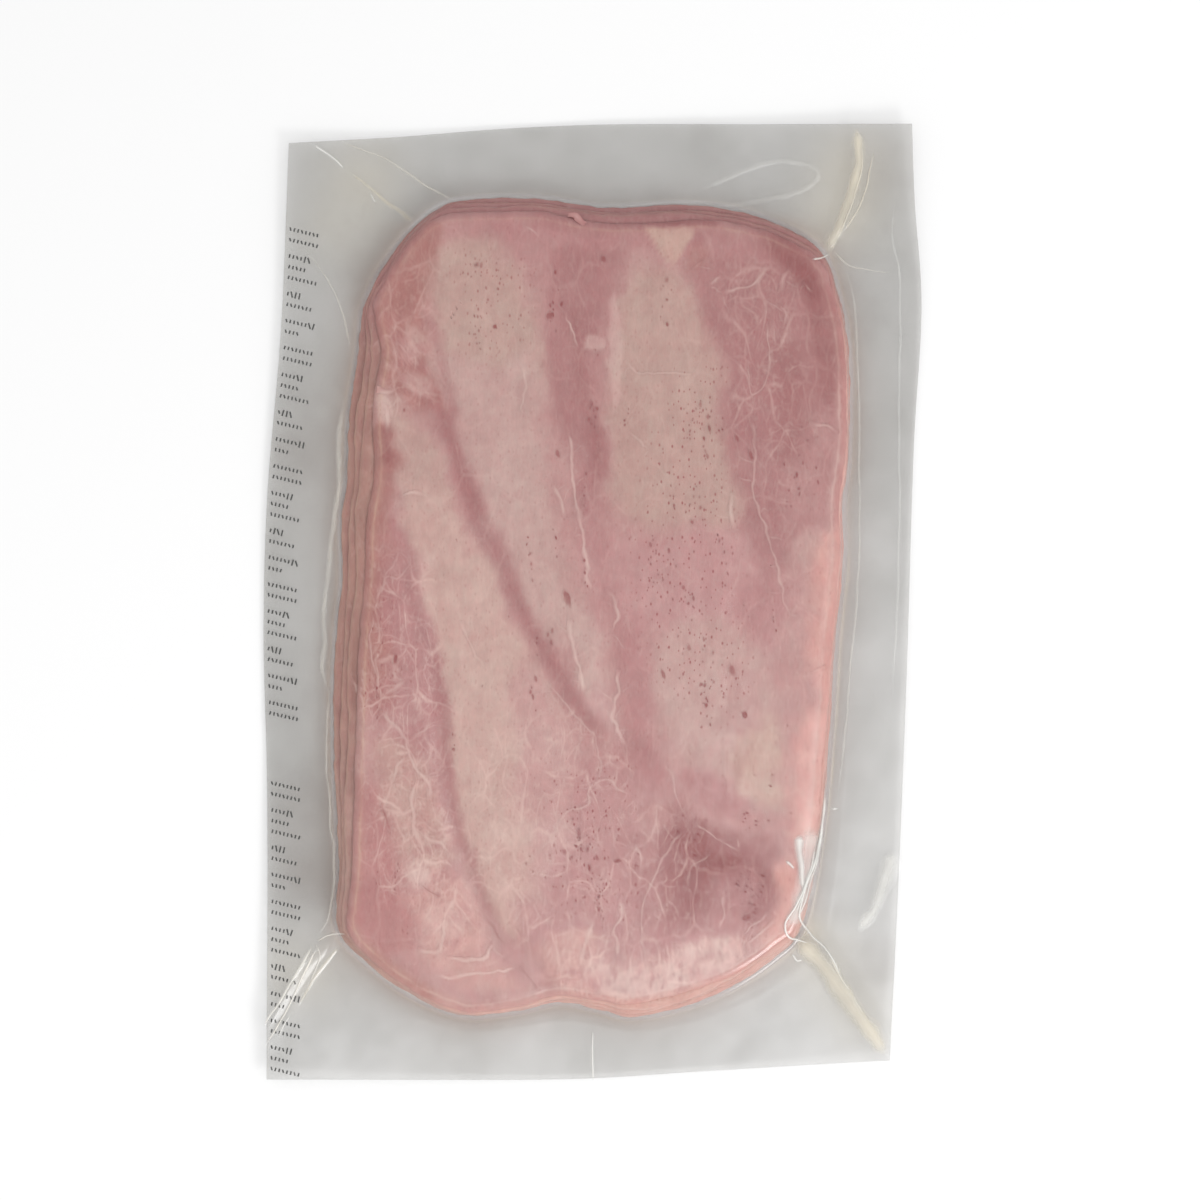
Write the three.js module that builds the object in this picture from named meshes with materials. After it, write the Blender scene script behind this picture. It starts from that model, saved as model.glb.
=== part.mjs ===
// A vacuum pouch of clear film drawn tight round a stack of cooked ham slices.
// Millimetres, +Z up. The pack lies flat: the ham's underside rests on z = 0, the open
// end of the pouch is towards +Y, and the origin is the middle of the footprint.
//
// The pack is one sealed piece, so it is one solid: a block of squares over the ham,
// then closed rings of points that step down the slices' edges, run out over the flat
// margin of the pouch and come back underneath.
import * as THREE from "three";

// ---- Driving dimensions -------------------------------------------------------------

const POUCH_WIDTH = 199; // side seam to side seam, measured along an end
const POUCH_LENGTH = 299; // end to end, measured along a side
const SIDE_LEAN = 1.35; // degrees that both sides lean clockwise
const END_RISE = 1.75; // degrees that both ends climb towards +X

const SLICE_COUNT = 5;
const SLICE_THICKNESS = 1.85;
const FILM_GAP = 0.25; // air and juice between the ham and the film
const STACK_HEIGHT = SLICE_COUNT * SLICE_THICKNESS;
const TOP_HEIGHT = STACK_HEIGHT + FILM_GAP;

const TUCK_HEIGHT = 2.7; // where the upper and lower film meet beside the ham
const TUCK_GAP = 1.3; // how far that meeting line stands off the widest slice
const MARGIN_THICKNESS = 0.5; // the two films of the margin and the air between them
const MARGIN_HEIGHT = 1.3; // mean height of the margin's upper film over the table
const CORNER_LIFT = 2.6; // how far the springy film's corners curl up from that

// Squares across and along the block over the ham, and so points along each side of a ring.
const ACROSS = 24;
const ALONG = 36;
const BLOCK_WIDTH = 0.72; // the block's share of the uppermost slice's width
const BLOCK_LENGTH = 0.82;

// ---- Outlines, clockwise from the corner at -X +Y ------------------------------------

// The widest slice. Each side starts at the corner where the film is gathered into a fold.
const HAM_SIDES = {
  top: [
    [-60, 115], [-52, 123], [-45, 127.3], [-18, 128.9], [5, 125.8], [31, 126.8], [46, 125], [61, 120.3],
  ],
  right: [
    [74, 112], [79.5, 98], [82.7, 82], [82.8, 46], [81, 31], [81.2, 15], [78.6, -12], [76.8, -42],
    [73.4, -77],
  ],
  bottom: [
    [66.5, -106.5], [59, -114], [45, -123.3], [30, -129.4], [13, -132.6], [2, -130], [-10, -128],
    [-22, -130.6], [-40, -132.1], [-55, -126.6], [-69, -117],
  ],
  left: [
    [-80, -105], [-80, -85], [-81.6, -45], [-81.4, -18], [-78.9, 8], [-79.2, 24], [-77.2, 42],
    [-76.9, 57], [-74, 78], [-71.4, 96],
  ],
};

// How far each side of the pouch bows outwards: [share of the way along the side, millimetres].
const POUCH_BOWS = {
  top: [[0.18, 1.1], [0.34, 2.7], [0.5, 3.1], [0.75, 1.6]],
  right: [[0.08, 1.5], [0.19, 4.6], [0.34, 3.3], [0.6, 2.6], [0.85, 1.3]],
  bottom: [[0.3, 1.9], [0.5, 3.1], [0.75, 1.8]],
  left: [[0.3, 2.1], [0.48, 4.6], [0.62, 4.4], [0.8, 1.2]],
};

// How far the uppermost slice is drawn in from the widest one at each side and at the two
// corners on the left, and the share of that inset at each slice, counted from the table up.
const TOP_INSET = { left: 8, right: 1.4, top: 5, bottom: 4.6 };
const HIGH_LEFT_INSET = 2.4; // at the corner at -X +Y
const LOW_LEFT_INSET = { side: 3.6, end: 1.4 }; // at the corner at -X -Y
// Where a corner's inset turns into the side's: X along the ends, and Y along the left side.
const INSET_TURNS = { top: [-60, -30], bottom: [-30, 20], upperLeft: [78, 100], lowerLeft: [-90, -35] };
const INSET_SHARES = [0.16, 0, 0.28, 0.58, 1];
// Unevenness of a slice's cut edge, which is less where the slices are drawn in less than `full`.
const RIPPLE = { height: 0.3, length: 6, turn: 2.1, full: 3 };
const EDGE_ROUNDING = 0.33; // how far the film's corner over a slice's edge is rounded down
const EDGE_LEAN = 0.12; // how far the film beside a slice's edge leans in above and out below
const UNDER_EDGE_WIDTH = 2.5; // the lower film curves up to the margin over this width
const UNDER_EDGE_HEIGHT = 0.9; // and is this high below the widest slice's edge
const SETTLE = 0.22; // share of the margin over which the film comes down from the tuck
const LEAST_CLEARANCE = 0.05; // the margin stays at least this far off the table

// Folds where the film is gathered at the ham's corners and runs out to the pouch's corners.
// Each is a ridge along a gently curved line, tall at the ham and low at the end.
const FOLDS = [
  { path: [[-80, -105], [-88, -112], [-104, -138]], height: 3.2, width: 3.0 },
  { path: [[66.5, -106.5], [75, -113], [95, -145]], height: 3.4, width: 3.4 },
  { path: [[74, 112], [83, 124], [86, 151]], height: 2.8, width: 3.0 },
  { path: [[-60, 115], [-72, 126], [-84, 142]], height: 1.6, width: 4.2 },
];
const FOLD_END = 0.35; // share of its height that a fold keeps at its far end

// Seams between the ham's muscles, which dip a little below the cut face.
const SEAMS = [
  { path: [[-55, 62], [-38, 28], [-14, -20], [12, -46]], depth: 0.4, width: 5 },
  { path: [[-50, 10], [-46, -50], [-34, -95], [-15, -121]], depth: 0.35, width: 4 },
  { path: [[3, 86], [4, 10], [10, -40], [34, -74], [60, -86]], depth: 0.3, width: 5 },
];

// The slow waves that keep the surfaces from being flat. Each is a height times a sine
// across and a cosine or a sine along, whose lengths are in millimetres.
const SWELL = { height: 0.15, across: 21, along: 34, phase: 0.8 };
const LENGTHWISE_WAVE = { height: 0.45, along: 31, across: 60, phase: 0.6 };
const CROSSWISE_WAVE = { height: 0.3, across: 24, along: 57, phase: 1.9 };

// Where the rings of points go, as shares of the way between two outlines.
const FACE_RINGS = [0.4, 0.75, 0.95]; // from the block of squares to the uppermost slice's edge
const MARGIN_RINGS = [0.1, 0.2, 0.32, 0.46, 0.6, 0.74, 0.88, 1]; // from the tuck to the pouch's edge
const UNDER_RINGS = [1, 0.72, 0.46, 0.22]; // from the pouch's edge back to the tuck
const CORNER_CROWDING = 0.7; // how much closer together a ring's points are at its corners
const CURVE_STEPS = 240; // points along each side of an outline before its ring is spaced
const RIDGE_STEPS = 60; // and along a fold or a seam

// ---- Small helpers --------------------------------------------------------------------

const radians = THREE.MathUtils.degToRad;
const smoothstep = THREE.MathUtils.smoothstep;
const mix = THREE.MathUtils.lerp;
const plane = ([x, y]) => new THREE.Vector3(x, y, 0);

/** Points spaced by the given shares of its length along a chain of many points. */
function walk(chain, shares) {
  const reached = [0];
  for (let i = 1; i < chain.length; i++) {
    reached.push(reached[i - 1] + chain[i].distanceTo(chain[i - 1]));
  }
  const length = reached[chain.length - 1];
  let i = 1;
  return shares.map((share) => {
    while (i < chain.length - 1 && reached[i] < share * length) i++;
    const t = (share * length - reached[i - 1]) / (reached[i] - reached[i - 1]);
    return chain[i - 1].clone().lerp(chain[i], t);
  });
}

/** Shares of a side's length for `count` points, close together towards both corners. */
function shares(count) {
  return Array.from({ length: count }, (_, i) => {
    const s = i / count;
    return s - (CORNER_CROWDING * Math.sin(2 * Math.PI * s)) / (2 * Math.PI);
  });
}

/** A closed ring from four sides, each a chain of many points from corner to corner. */
function ring(sides) {
  return [
    ...walk(sides.top, shares(ACROSS)),
    ...walk(sides.right, shares(ALONG)),
    ...walk(sides.bottom, shares(ACROSS)),
    ...walk(sides.left, shares(ALONG)),
  ];
}

/** The unit normals of a ring, pointing out, from each point's two neighbours. */
function normals(points) {
  return points.map((_, i) => {
    const before = points[(i + points.length - 1) % points.length];
    const after = points[(i + 1) % points.length];
    const along = after.clone().sub(before).normalize();
    return new THREE.Vector3(-along.y, along.x, 0);
  });
}

/** Distance from (x, y) to a chain of points, and how far along the chain that is, 0 to 1. */
function nearest(chain, x, y) {
  const point = new THREE.Vector3(x, y, 0);
  let best = { distance: Infinity, share: 0 };
  chain.forEach((p, i) => {
    const distance = p.distanceTo(point);
    if (distance < best.distance) best = { distance, share: i / (chain.length - 1) };
  });
  return best;
}

const smoothPath = (path) => new THREE.CatmullRomCurve3(path.map(plane)).getPoints(RIDGE_STEPS);
const folds = FOLDS.map((fold) => ({ ...fold, chain: smoothPath(fold.path) }));
const seams = SEAMS.map((seam) => ({ ...seam, chain: smoothPath(seam.path) }));

// ---- The rings that the surface passes through ----------------------------------------

/** The widest slice's outline, as a ring. */
function hamRing() {
  const names = ["top", "right", "bottom", "left"];
  const points = names.flatMap((name) => HAM_SIDES[name]);
  const curve = new THREE.CatmullRomCurve3(points.map(plane), true, "centripetal");
  const sides = {};
  let first = 0;
  for (const name of names) {
    const last = first + HAM_SIDES[name].length;
    sides[name] = Array.from({ length: CURVE_STEPS + 1 }, (_, i) =>
      curve.getPoint(Math.min(mix(first, last, i / CURVE_STEPS) / points.length, 1)),
    );
    first = last;
  }
  return ring(sides);
}

/** The pouch's outline, as a ring: a leaning rectangle whose sides bow outwards. */
function pouchRing() {
  const lean = new THREE.Vector3(Math.sin(radians(SIDE_LEAN)), Math.cos(radians(SIDE_LEAN)), 0);
  const rise = new THREE.Vector3(Math.cos(radians(END_RISE)), Math.sin(radians(END_RISE)), 0);
  const corner = (x, y) =>
    rise.clone().multiplyScalar((x * POUCH_WIDTH) / 2).addScaledVector(lean, (y * POUCH_LENGTH) / 2);
  const corners = [corner(-1, 1), corner(1, 1), corner(1, -1), corner(-1, -1)];
  const sides = {};
  ["top", "right", "bottom", "left"].forEach((name, i) => {
    const from = corners[i];
    const to = corners[(i + 1) % 4];
    const along = to.clone().sub(from).normalize();
    const out = new THREE.Vector3(-along.y, along.x, 0);
    const bowed = POUCH_BOWS[name].map(([share, bow]) =>
      from.clone().lerp(to, share).addScaledVector(out, bow),
    );
    const curve = new THREE.CatmullRomCurve3([from, ...bowed, to], false, "centripetal");
    sides[name] = curve.getPoints(CURVE_STEPS);
  });
  return ring(sides);
}

/** How far the uppermost slice is drawn in at a point of the widest one, whose normal is n. */
function topInset({ x, y }, n) {
  const turns = INSET_TURNS;
  const high = mix(HIGH_LEFT_INSET, TOP_INSET.top, smoothstep(x, ...turns.top));
  const low = mix(LOW_LEFT_INSET.end, TOP_INSET.bottom, smoothstep(x, ...turns.bottom));
  const upperLeft = mix(TOP_INSET.left, HIGH_LEFT_INSET, smoothstep(y, ...turns.upperLeft));
  const left = mix(LOW_LEFT_INSET.side, upperLeft, smoothstep(y, ...turns.lowerLeft));
  return n.x ** 2 * (n.x < 0 ? left : TOP_INSET.right) + n.y ** 2 * (n.y > 0 ? high : low);
}

/** One slice's outline: the widest slice's ring drawn in at each side, and a little uneven. */
function sliceRing(widest, out, slice) {
  return widest.map((point, i) => {
    const inset = topInset(point, out[i]);
    const wave = Math.sin((point.x + point.y) / (RIPPLE.length + slice) + RIPPLE.turn * slice);
    const ripple = INSET_SHARES[slice] > 0 ? RIPPLE.height * wave * Math.min(1, inset / RIPPLE.full) : 0;
    return point.clone().addScaledVector(out[i], ripple - inset * INSET_SHARES[slice]);
  });
}

// ---- Heights ---------------------------------------------------------------------------

/** Height of the film over the ham: the flat cut face, dipping along the muscle seams. */
function faceHeight(x, y) {
  const swell = SWELL.height * Math.sin(x / SWELL.across + SWELL.phase) * Math.cos(y / SWELL.along);
  const dip = seams.reduce((sum, seam) => {
    const { distance } = nearest(seam.chain, x, y);
    return sum + seam.depth * Math.exp(-((distance / seam.width) ** 2));
  }, 0);
  return TOP_HEIGHT - SWELL.height + swell - dip;
}

/** Height of the margin without its folds: slow waves, and corners that curl up. */
function looseHeight({ x, y }) {
  const [lengthwise, crosswise] = [LENGTHWISE_WAVE, CROSSWISE_WAVE];
  const along = lengthwise.height * Math.sin(y / lengthwise.along + x / lengthwise.across + lengthwise.phase);
  const across = crosswise.height * Math.sin(x / crosswise.across - y / crosswise.along + crosswise.phase);
  const corner = ((2 * Math.abs(x)) / POUCH_WIDTH) ** 3 * ((2 * Math.abs(y)) / POUCH_LENGTH) ** 3;
  return MARGIN_HEIGHT + along + across + CORNER_LIFT * corner;
}

/** Height of the margin's upper film, with the folds at the corners. */
function marginHeight(p) {
  const ridges = folds.map((fold) => {
    const { distance, share } = nearest(fold.chain, p.x, p.y);
    return fold.height * mix(1, FOLD_END, share) * Math.exp(-((distance / fold.width) ** 2));
  });
  return looseHeight(p) + Math.max(...ridges);
}

// ---- The solid -------------------------------------------------------------------------

/** Collects rings of points, lowest index first, and the faces between them. */
class Skin {
  constructor() {
    this.positions = [];
    this.indices = [];
  }

  addRing(points) {
    const first = this.positions.length / 3;
    points.forEach((p) => this.positions.push(p.x, p.y, p.z));
    return { first, count: points.length };
  }

  /** Joins an inner ring to an outer one. Both run clockwise, so the faces look up. */
  bridge(inner, outer) {
    for (let i = 0; i < inner.count; i++) {
      const j = (i + 1) % inner.count;
      const [a, b] = [inner.first + i, inner.first + j];
      const [c, d] = [outer.first + i, outer.first + j];
      this.indices.push(a, b, d, a, d, c);
    }
  }

  geometry() {
    const geometry = new THREE.BufferGeometry();
    geometry.setAttribute("position", new THREE.Float32BufferAttribute(this.positions, 3));
    geometry.setIndex(this.indices);
    geometry.computeVertexNormals();
    return geometry;
  }
}

/** A ring moved out by a distance, or in by a negative one. */
const offset = (points, out, distance) =>
  points.map((p, i) => p.clone().addScaledVector(out[i], distance));

/** Points part of the way between two rings. */
const between = (a, b, share) => a.map((p, i) => p.clone().lerp(b[i], share));

/** The block of squares over the ham: its points fill a ring, and that ring is returned. */
function addBlock(skin, edge) {
  const at = (i, j) => skin.block + j * (ACROSS + 1) + i;
  skin.block = skin.positions.length / 3;
  const side = {
    top: (i) => edge[i],
    right: (j) => edge[ACROSS + j],
    bottom: (i) => edge[(2 * ACROSS + ALONG - i) % edge.length],
    left: (j) => edge[(2 * (ACROSS + ALONG) - j) % edge.length],
  };
  for (let j = 0; j <= ALONG; j++) {
    for (let i = 0; i <= ACROSS; i++) {
      const [u, v] = [i / ACROSS, j / ALONG];
      const across = side.left(j).clone().lerp(side.right(j), u);
      const along = side.top(i).clone().lerp(side.bottom(i), v);
      const corners = side.top(0).clone().lerp(side.top(ACROSS), u)
        .lerp(side.bottom(0).clone().lerp(side.bottom(ACROSS), u), v);
      const p = across.add(along).sub(corners);
      skin.positions.push(p.x, p.y, faceHeight(p.x, p.y));
    }
  }
  for (let j = 0; j < ALONG; j++) {
    for (let i = 0; i < ACROSS; i++) {
      skin.indices.push(at(i, j), at(i, j + 1), at(i + 1, j + 1));
      skin.indices.push(at(i, j), at(i + 1, j + 1), at(i + 1, j));
    }
  }
  const rim = [];
  for (let i = 0; i < ACROSS; i++) rim.push(at(i, 0));
  for (let j = 0; j < ALONG; j++) rim.push(at(ACROSS, j));
  for (let i = ACROSS; i > 0; i--) rim.push(at(i, ALONG));
  for (let j = ALONG; j > 0; j--) rim.push(at(0, j));
  const points = rim.map((k) => new THREE.Vector3().fromArray(skin.positions, 3 * k));
  return skin.addRing(points);
}

function packGeometry() {
  const widest = hamRing();
  const out = normals(widest);
  const slices = INSET_SHARES.map((_, slice) => sliceRing(widest, out, slice));
  const topSlice = slices[SLICE_COUNT - 1];
  const pouch = pouchRing();
  const skin = new Skin();

  // Over the ham: the block, then rings out to the uppermost slice's rounded edge.
  const middle = topSlice.map((p) => new THREE.Vector3(p.x * BLOCK_WIDTH, p.y * BLOCK_LENGTH, 0));
  let last = addBlock(skin, middle);
  const grow = (points) => {
    const next = skin.addRing(points);
    skin.bridge(last, next);
    last = next;
  };
  for (const share of FACE_RINGS) {
    grow(between(middle, topSlice, share).map((p) => p.setZ(faceHeight(p.x, p.y))));
  }

  // Down the edges of the slices above the tuck, two rings to a slice.
  for (let slice = SLICE_COUNT - 1; slice >= 1; slice--) {
    const floor = slice * SLICE_THICKNESS;
    const shoulder = offset(slices[slice], out, -EDGE_LEAN);
    const ceiling = floor + SLICE_THICKNESS + FILM_GAP - EDGE_ROUNDING;
    grow(shoulder.map((p) => p.setZ(ceiling)));
    const foot = offset(slices[slice], out, EDGE_LEAN);
    if (floor > TUCK_HEIGHT) grow(foot.map((p) => p.setZ(floor + 2 * EDGE_ROUNDING)));
  }

  // The tuck, then the margin, which comes down from it and runs out to the cut edge.
  const tuck = offset(widest, out, TUCK_GAP);
  grow(tuck.map((p) => p.setZ(TUCK_HEIGHT)));
  for (const share of MARGIN_RINGS) {
    const down = smoothstep(share, 0, SETTLE);
    const height = (p) => mix(TUCK_HEIGHT, marginHeight(p), down);
    grow(between(tuck, pouch, share).map((p) => p.setZ(height(p))));
  }

  // Back underneath: the margin's lower film, and the flat face that the ham rests on.
  for (const share of UNDER_RINGS) {
    const height = (p) => Math.max(looseHeight(p) - MARGIN_THICKNESS, LEAST_CLEARANCE);
    grow(between(tuck, pouch, share).map((p) => p.setZ(height(p))));
  }
  grow(widest.map((p) => p.clone().setZ(UNDER_EDGE_HEIGHT)));
  const base = offset(widest, out, -UNDER_EDGE_WIDTH);
  grow(base.map((p) => p.setZ(0)));
  closeUnderside(skin, base, last);
  return skin.geometry();
}

/** Fills the flat face inside the last ring, looking down. */
function closeUnderside(skin, points, last) {
  const contour = points.map((p) => new THREE.Vector2(p.x, p.y));
  THREE.ShapeUtils.triangulateShape(contour, []).forEach(([a, b, c]) => {
    const up = new THREE.Vector2().subVectors(contour[b], contour[a])
      .cross(new THREE.Vector2().subVectors(contour[c], contour[a])) > 0;
    const face = up ? [a, c, b] : [a, b, c];
    face.forEach((k) => skin.indices.push(last.first + k));
  });
}

/** Moves a shape so that its box stands on z = 0 with its middle on the Z axis. */
function centred(geometry) {
  geometry.computeBoundingBox();
  const middle = geometry.boundingBox.getCenter(new THREE.Vector3());
  return geometry.translate(-middle.x, -middle.y, -geometry.boundingBox.min.z);
}

const film = new THREE.MeshStandardMaterial({ color: 0xc9a19b, roughness: 0.25, metalness: 0 });
const pack = new THREE.Mesh(centred(packGeometry()), film);
pack.name = "sealed_pack";

const group = new THREE.Group();
group.add(pack);
export default group;
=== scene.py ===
"""A vacuum pouch of sliced cooked ham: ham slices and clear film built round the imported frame.

The pack lies flat on the table with its shown side up. Lengths are millimetres about the
middle of the pack, +X to the right and +Y to the pouch's open end, and become metres only
when a mesh is placed.
"""
import logging
import math
from collections.abc import Callable, Iterator, Sequence
from contextlib import contextmanager
from dataclasses import dataclass, field
from enum import Enum

import bpy
import numpy as np
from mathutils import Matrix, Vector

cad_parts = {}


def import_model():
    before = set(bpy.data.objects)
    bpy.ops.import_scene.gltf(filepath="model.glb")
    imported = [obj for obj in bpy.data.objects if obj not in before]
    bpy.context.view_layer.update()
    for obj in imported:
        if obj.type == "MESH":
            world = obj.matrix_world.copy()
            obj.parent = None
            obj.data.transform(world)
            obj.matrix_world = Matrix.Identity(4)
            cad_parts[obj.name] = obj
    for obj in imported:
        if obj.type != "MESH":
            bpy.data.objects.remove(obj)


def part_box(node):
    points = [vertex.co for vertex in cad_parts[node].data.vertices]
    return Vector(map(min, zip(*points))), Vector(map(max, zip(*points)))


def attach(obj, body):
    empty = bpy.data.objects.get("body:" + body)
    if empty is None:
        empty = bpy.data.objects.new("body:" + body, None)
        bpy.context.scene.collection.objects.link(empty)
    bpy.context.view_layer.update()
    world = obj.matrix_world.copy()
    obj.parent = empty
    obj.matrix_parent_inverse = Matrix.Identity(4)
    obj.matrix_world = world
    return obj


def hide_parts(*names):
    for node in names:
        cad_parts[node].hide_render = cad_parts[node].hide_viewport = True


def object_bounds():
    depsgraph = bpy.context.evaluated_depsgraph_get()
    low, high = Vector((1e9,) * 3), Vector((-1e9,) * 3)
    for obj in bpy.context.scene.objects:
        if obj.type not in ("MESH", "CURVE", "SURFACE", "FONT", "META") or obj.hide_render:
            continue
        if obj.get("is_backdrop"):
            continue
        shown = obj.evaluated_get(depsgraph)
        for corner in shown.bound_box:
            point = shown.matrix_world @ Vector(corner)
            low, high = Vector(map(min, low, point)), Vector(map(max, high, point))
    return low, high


LOG = logging.getLogger("ham_pack")
MM = 0.001
BODY = "root"
SOLID = "sealed_pack"
NOISE_START = 1000.0  # keeps the noise's lattice above zero
HASH = (374761393, 668265263, 974634777, 1274126177)  # odd numbers that scatter the lattice's corners
WORD = 0xFFFFFFFF

Line = Sequence[tuple[float, ...]]
Colour = tuple[int, int, int]
Array = np.ndarray
Mesh = bpy.types.Mesh
Piece = bpy.types.Object
Material = bpy.types.Material
Tree = bpy.types.NodeTree
Node = bpy.types.Node
Socket = bpy.types.NodeSocket


# ---- Numbers, curves and noise ---------------------------------------------------------


def ease(value: Array) -> Array:
    """Clamps to 0..1 and flattens both ends."""
    v = np.clip(value, 0.0, 1.0)
    return v * v * (3.0 - 2.0 * v)


def mix(a: Array, b: Array, share: Array) -> Array:
    """A blend of a and b."""
    return a + (b - a) * share


def linear(colour: Colour) -> Array:
    """The light, three shares of white, that a display colour of 0 to 255 stands for."""
    c = np.array(colour, float) / 255.0
    return np.where(c <= 0.04045, c / 12.92, ((c + 0.055) / 1.055) ** 2.4)


def smooth_line(points: Line, closed: bool = False, step: float = 1.0) -> Array:
    """Runs a centripetal Catmull-Rom curve through points.

    Args:
        points: the points to pass through, with any number of values each.
        closed: whether the curve joins up.
        step: about how far apart the returned points are.

    Returns:
        The curve's points, one row each.
    """
    p = np.array(points, float)
    count = len(p)
    spans = count if closed else count - 1
    if closed:
        before, after = p[-1], p[:2]
        p = np.vstack([before, p, after])
    else:
        p = np.vstack([2 * p[0] - p[1], p, 2 * p[-1] - p[-2]])
    rows = []
    for k in range(spans):
        p0, p1, p2, p3 = p[k : k + 4]
        gaps = [max(np.linalg.norm((b - a)[:2]), 1e-6) ** 0.5 for a, b in ((p0, p1), (p1, p2), (p2, p3))]
        t1 = ((p1 - p0) / gaps[0] - (p2 - p0) / (gaps[0] + gaps[1]) + (p2 - p1) / gaps[1]) * gaps[1]
        t2 = ((p2 - p1) / gaps[1] - (p3 - p1) / (gaps[1] + gaps[2]) + (p3 - p2) / gaps[2]) * gaps[1]
        steps = max(int(np.linalg.norm((p2 - p1)[:2]) / step), 2)
        t = np.linspace(0.0, 1.0, steps, endpoint=False)[:, None]
        cubic = (2 * p1 - 2 * p2 + t1 + t2) * t**3 + (3 * p2 - 3 * p1 - 2 * t1 - t2) * t**2 + t1 * t + p1
        rows.append(cubic)
    if not closed:
        rows.append(p[-2][None, :])
    return np.vstack(rows)


def along(chain: Array, shares: Array) -> Array:
    """The points at the given shares of a chain's length, one row each."""
    reached = np.concatenate([[0.0], np.cumsum(np.linalg.norm(np.diff(chain[:, :2], axis=0), axis=1))])
    reached /= reached[-1]
    return np.stack([np.interp(shares, reached, column) for column in chain.T], axis=1)


def nearest(places: Array, chain: Array, reach: float) -> tuple[Array, Array]:
    """Distance from each place to a chain, where that is under a reach.

    Args:
        places: points of the plane.
        chain: points of a line, one row each.
        reach: distances beyond this come back as they are or larger.

    Returns:
        The distances, and how far along the chain the nearest point is, 0 to 1.
    """
    distance = np.full(len(places), 1e6)
    share = np.zeros(len(places))
    low, high = chain[:, :2].min(0) - reach, chain[:, :2].max(0) + reach
    near = np.nonzero(((places[:, :2] > low) & (places[:, :2] < high)).all(1))[0]
    spots = places[near, :2]
    best, where = distance[near], share[near]
    lengths = np.linalg.norm(np.diff(chain[:, :2], axis=0), axis=1)
    reached = np.concatenate([[0.0], np.cumsum(lengths)])
    for k in range(len(chain) - 1):
        a, b = chain[k, :2], chain[k + 1, :2]
        t = np.clip((spots - a) @ (b - a) / max(lengths[k] ** 2, 1e-9), 0.0, 1.0)
        gap = np.linalg.norm(spots - a - t[:, None] * (b - a), axis=1)
        closer = gap < best
        best = np.where(closer, gap, best)
        where = np.where(closer, (reached[k] + t * lengths[k]) / reached[-1], where)
    distance[near], share[near] = best, where
    return distance, share


def depth_inside(places: Array, outline: Array, reach: float) -> Array:
    """How deep each place lies inside a closed outline, negative outside it.

    Args:
        places: points of the plane.
        outline: the outline's points, one row each.
        reach: places farther out than this come back as very far out.

    Returns:
        The depths.
    """
    ring = np.vstack([outline, outline[:1]])
    low, high = ring[:, :2].min(0) - reach, ring[:, :2].max(0) + reach
    near = np.nonzero(((places[:, :2] > low) & (places[:, :2] < high)).all(1))[0]
    depth = np.full(len(places), -1e6)
    distance, _ = nearest(places[near], ring, reach)
    x, y = places[near, 0], places[near, 1]
    inside = np.zeros(len(near), bool)
    for (ax, ay), (bx, by) in zip(ring[:-1, :2], ring[1:, :2]):
        if ay != by:
            crosses = (ay > y) != (by > y)
            inside ^= crosses & (x < (bx - ax) * (y - ay) / (by - ay) + ax)
    depth[near] = np.where(inside, distance, -distance)
    return depth


def noise(x: Array, y: Array, size: float, seed: int) -> Array:
    """Smooth random hills and hollows.

    Args:
        x: places across.
        y: places along.
        size: width of a hill.
        seed: picks one landscape.

    Returns:
        A height of -1 to 1 for each place.
    """
    u, v = x / size + NOISE_START, y / size + NOISE_START
    i, j = np.floor(u).astype(np.int64), np.floor(v).astype(np.int64)
    s, t = ease(u - i), ease(v - j)

    def corner(a: Array, b: Array) -> Array:
        """One lattice corner's random height."""
        h = (a * HASH[0] + b * HASH[1] + seed * HASH[2]) & WORD
        h = ((h ^ (h >> 13)) * HASH[3]) & WORD
        return (h ^ (h >> 16)) / (WORD // 2) - 1.0

    upper = mix(corner(i, j), corner(i + 1, j), s)
    lower = mix(corner(i, j + 1), corner(i + 1, j + 1), s)
    return mix(upper, lower, t)


# ---- Rings and sheets ------------------------------------------------------------------


@dataclass(frozen=True)
class Weave:
    """How finely a sheet of squares and the rings round it are divided."""

    across: int
    along: int
    crowding: float

    @property
    def around(self) -> int:
        """Points in one ring."""
        return 2 * (self.across + self.along)

    def shares(self, count: int) -> Array:
        """Shares of a side's length, closer together towards both corners."""
        s = np.arange(count) / count
        return s - self.crowding * np.sin(2 * math.pi * s) / (2 * math.pi)

    def ring(self, sides: Sequence[Array]) -> Array:
        """Joins the top, right, bottom and left side, each a clockwise chain, into one ring."""
        counts = (self.across, self.along, self.across, self.along)
        return np.vstack([along(side, self.shares(n)) for side, n in zip(sides, counts)])

    def fill(self, ring: Array, column: Array, row: Array) -> Array:
        """Spreads a sheet's inner points evenly inside a ring.

        Args:
            ring: the ring round the sheet.
            column: each point's place in its row of the sheet, counted from -X.
            row: each point's row, counted from +Y.

        Returns:
            The points, one row each.
        """
        n, w, h = self.around, self.across, self.along
        u, v = (column / w)[:, None], (row / h)[:, None]
        top, right = ring[column], ring[w + row]
        bottom, left = ring[(2 * w + h - column) % n], ring[(2 * (w + h) - row) % n]
        corners = mix(mix(ring[0], ring[w], u), mix(ring[2 * w + h], ring[w + h], u), v)
        return mix(left, right, u) + mix(top, bottom, v) - corners


def outward(ring: Array) -> Array:
    """The unit directions that point out of a clockwise ring."""
    run = np.roll(ring, -1, axis=0) - np.roll(ring, 1, axis=0)
    run /= np.linalg.norm(run, axis=1)[:, None]
    return np.stack([-run[:, 1], run[:, 0]], axis=1)


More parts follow.
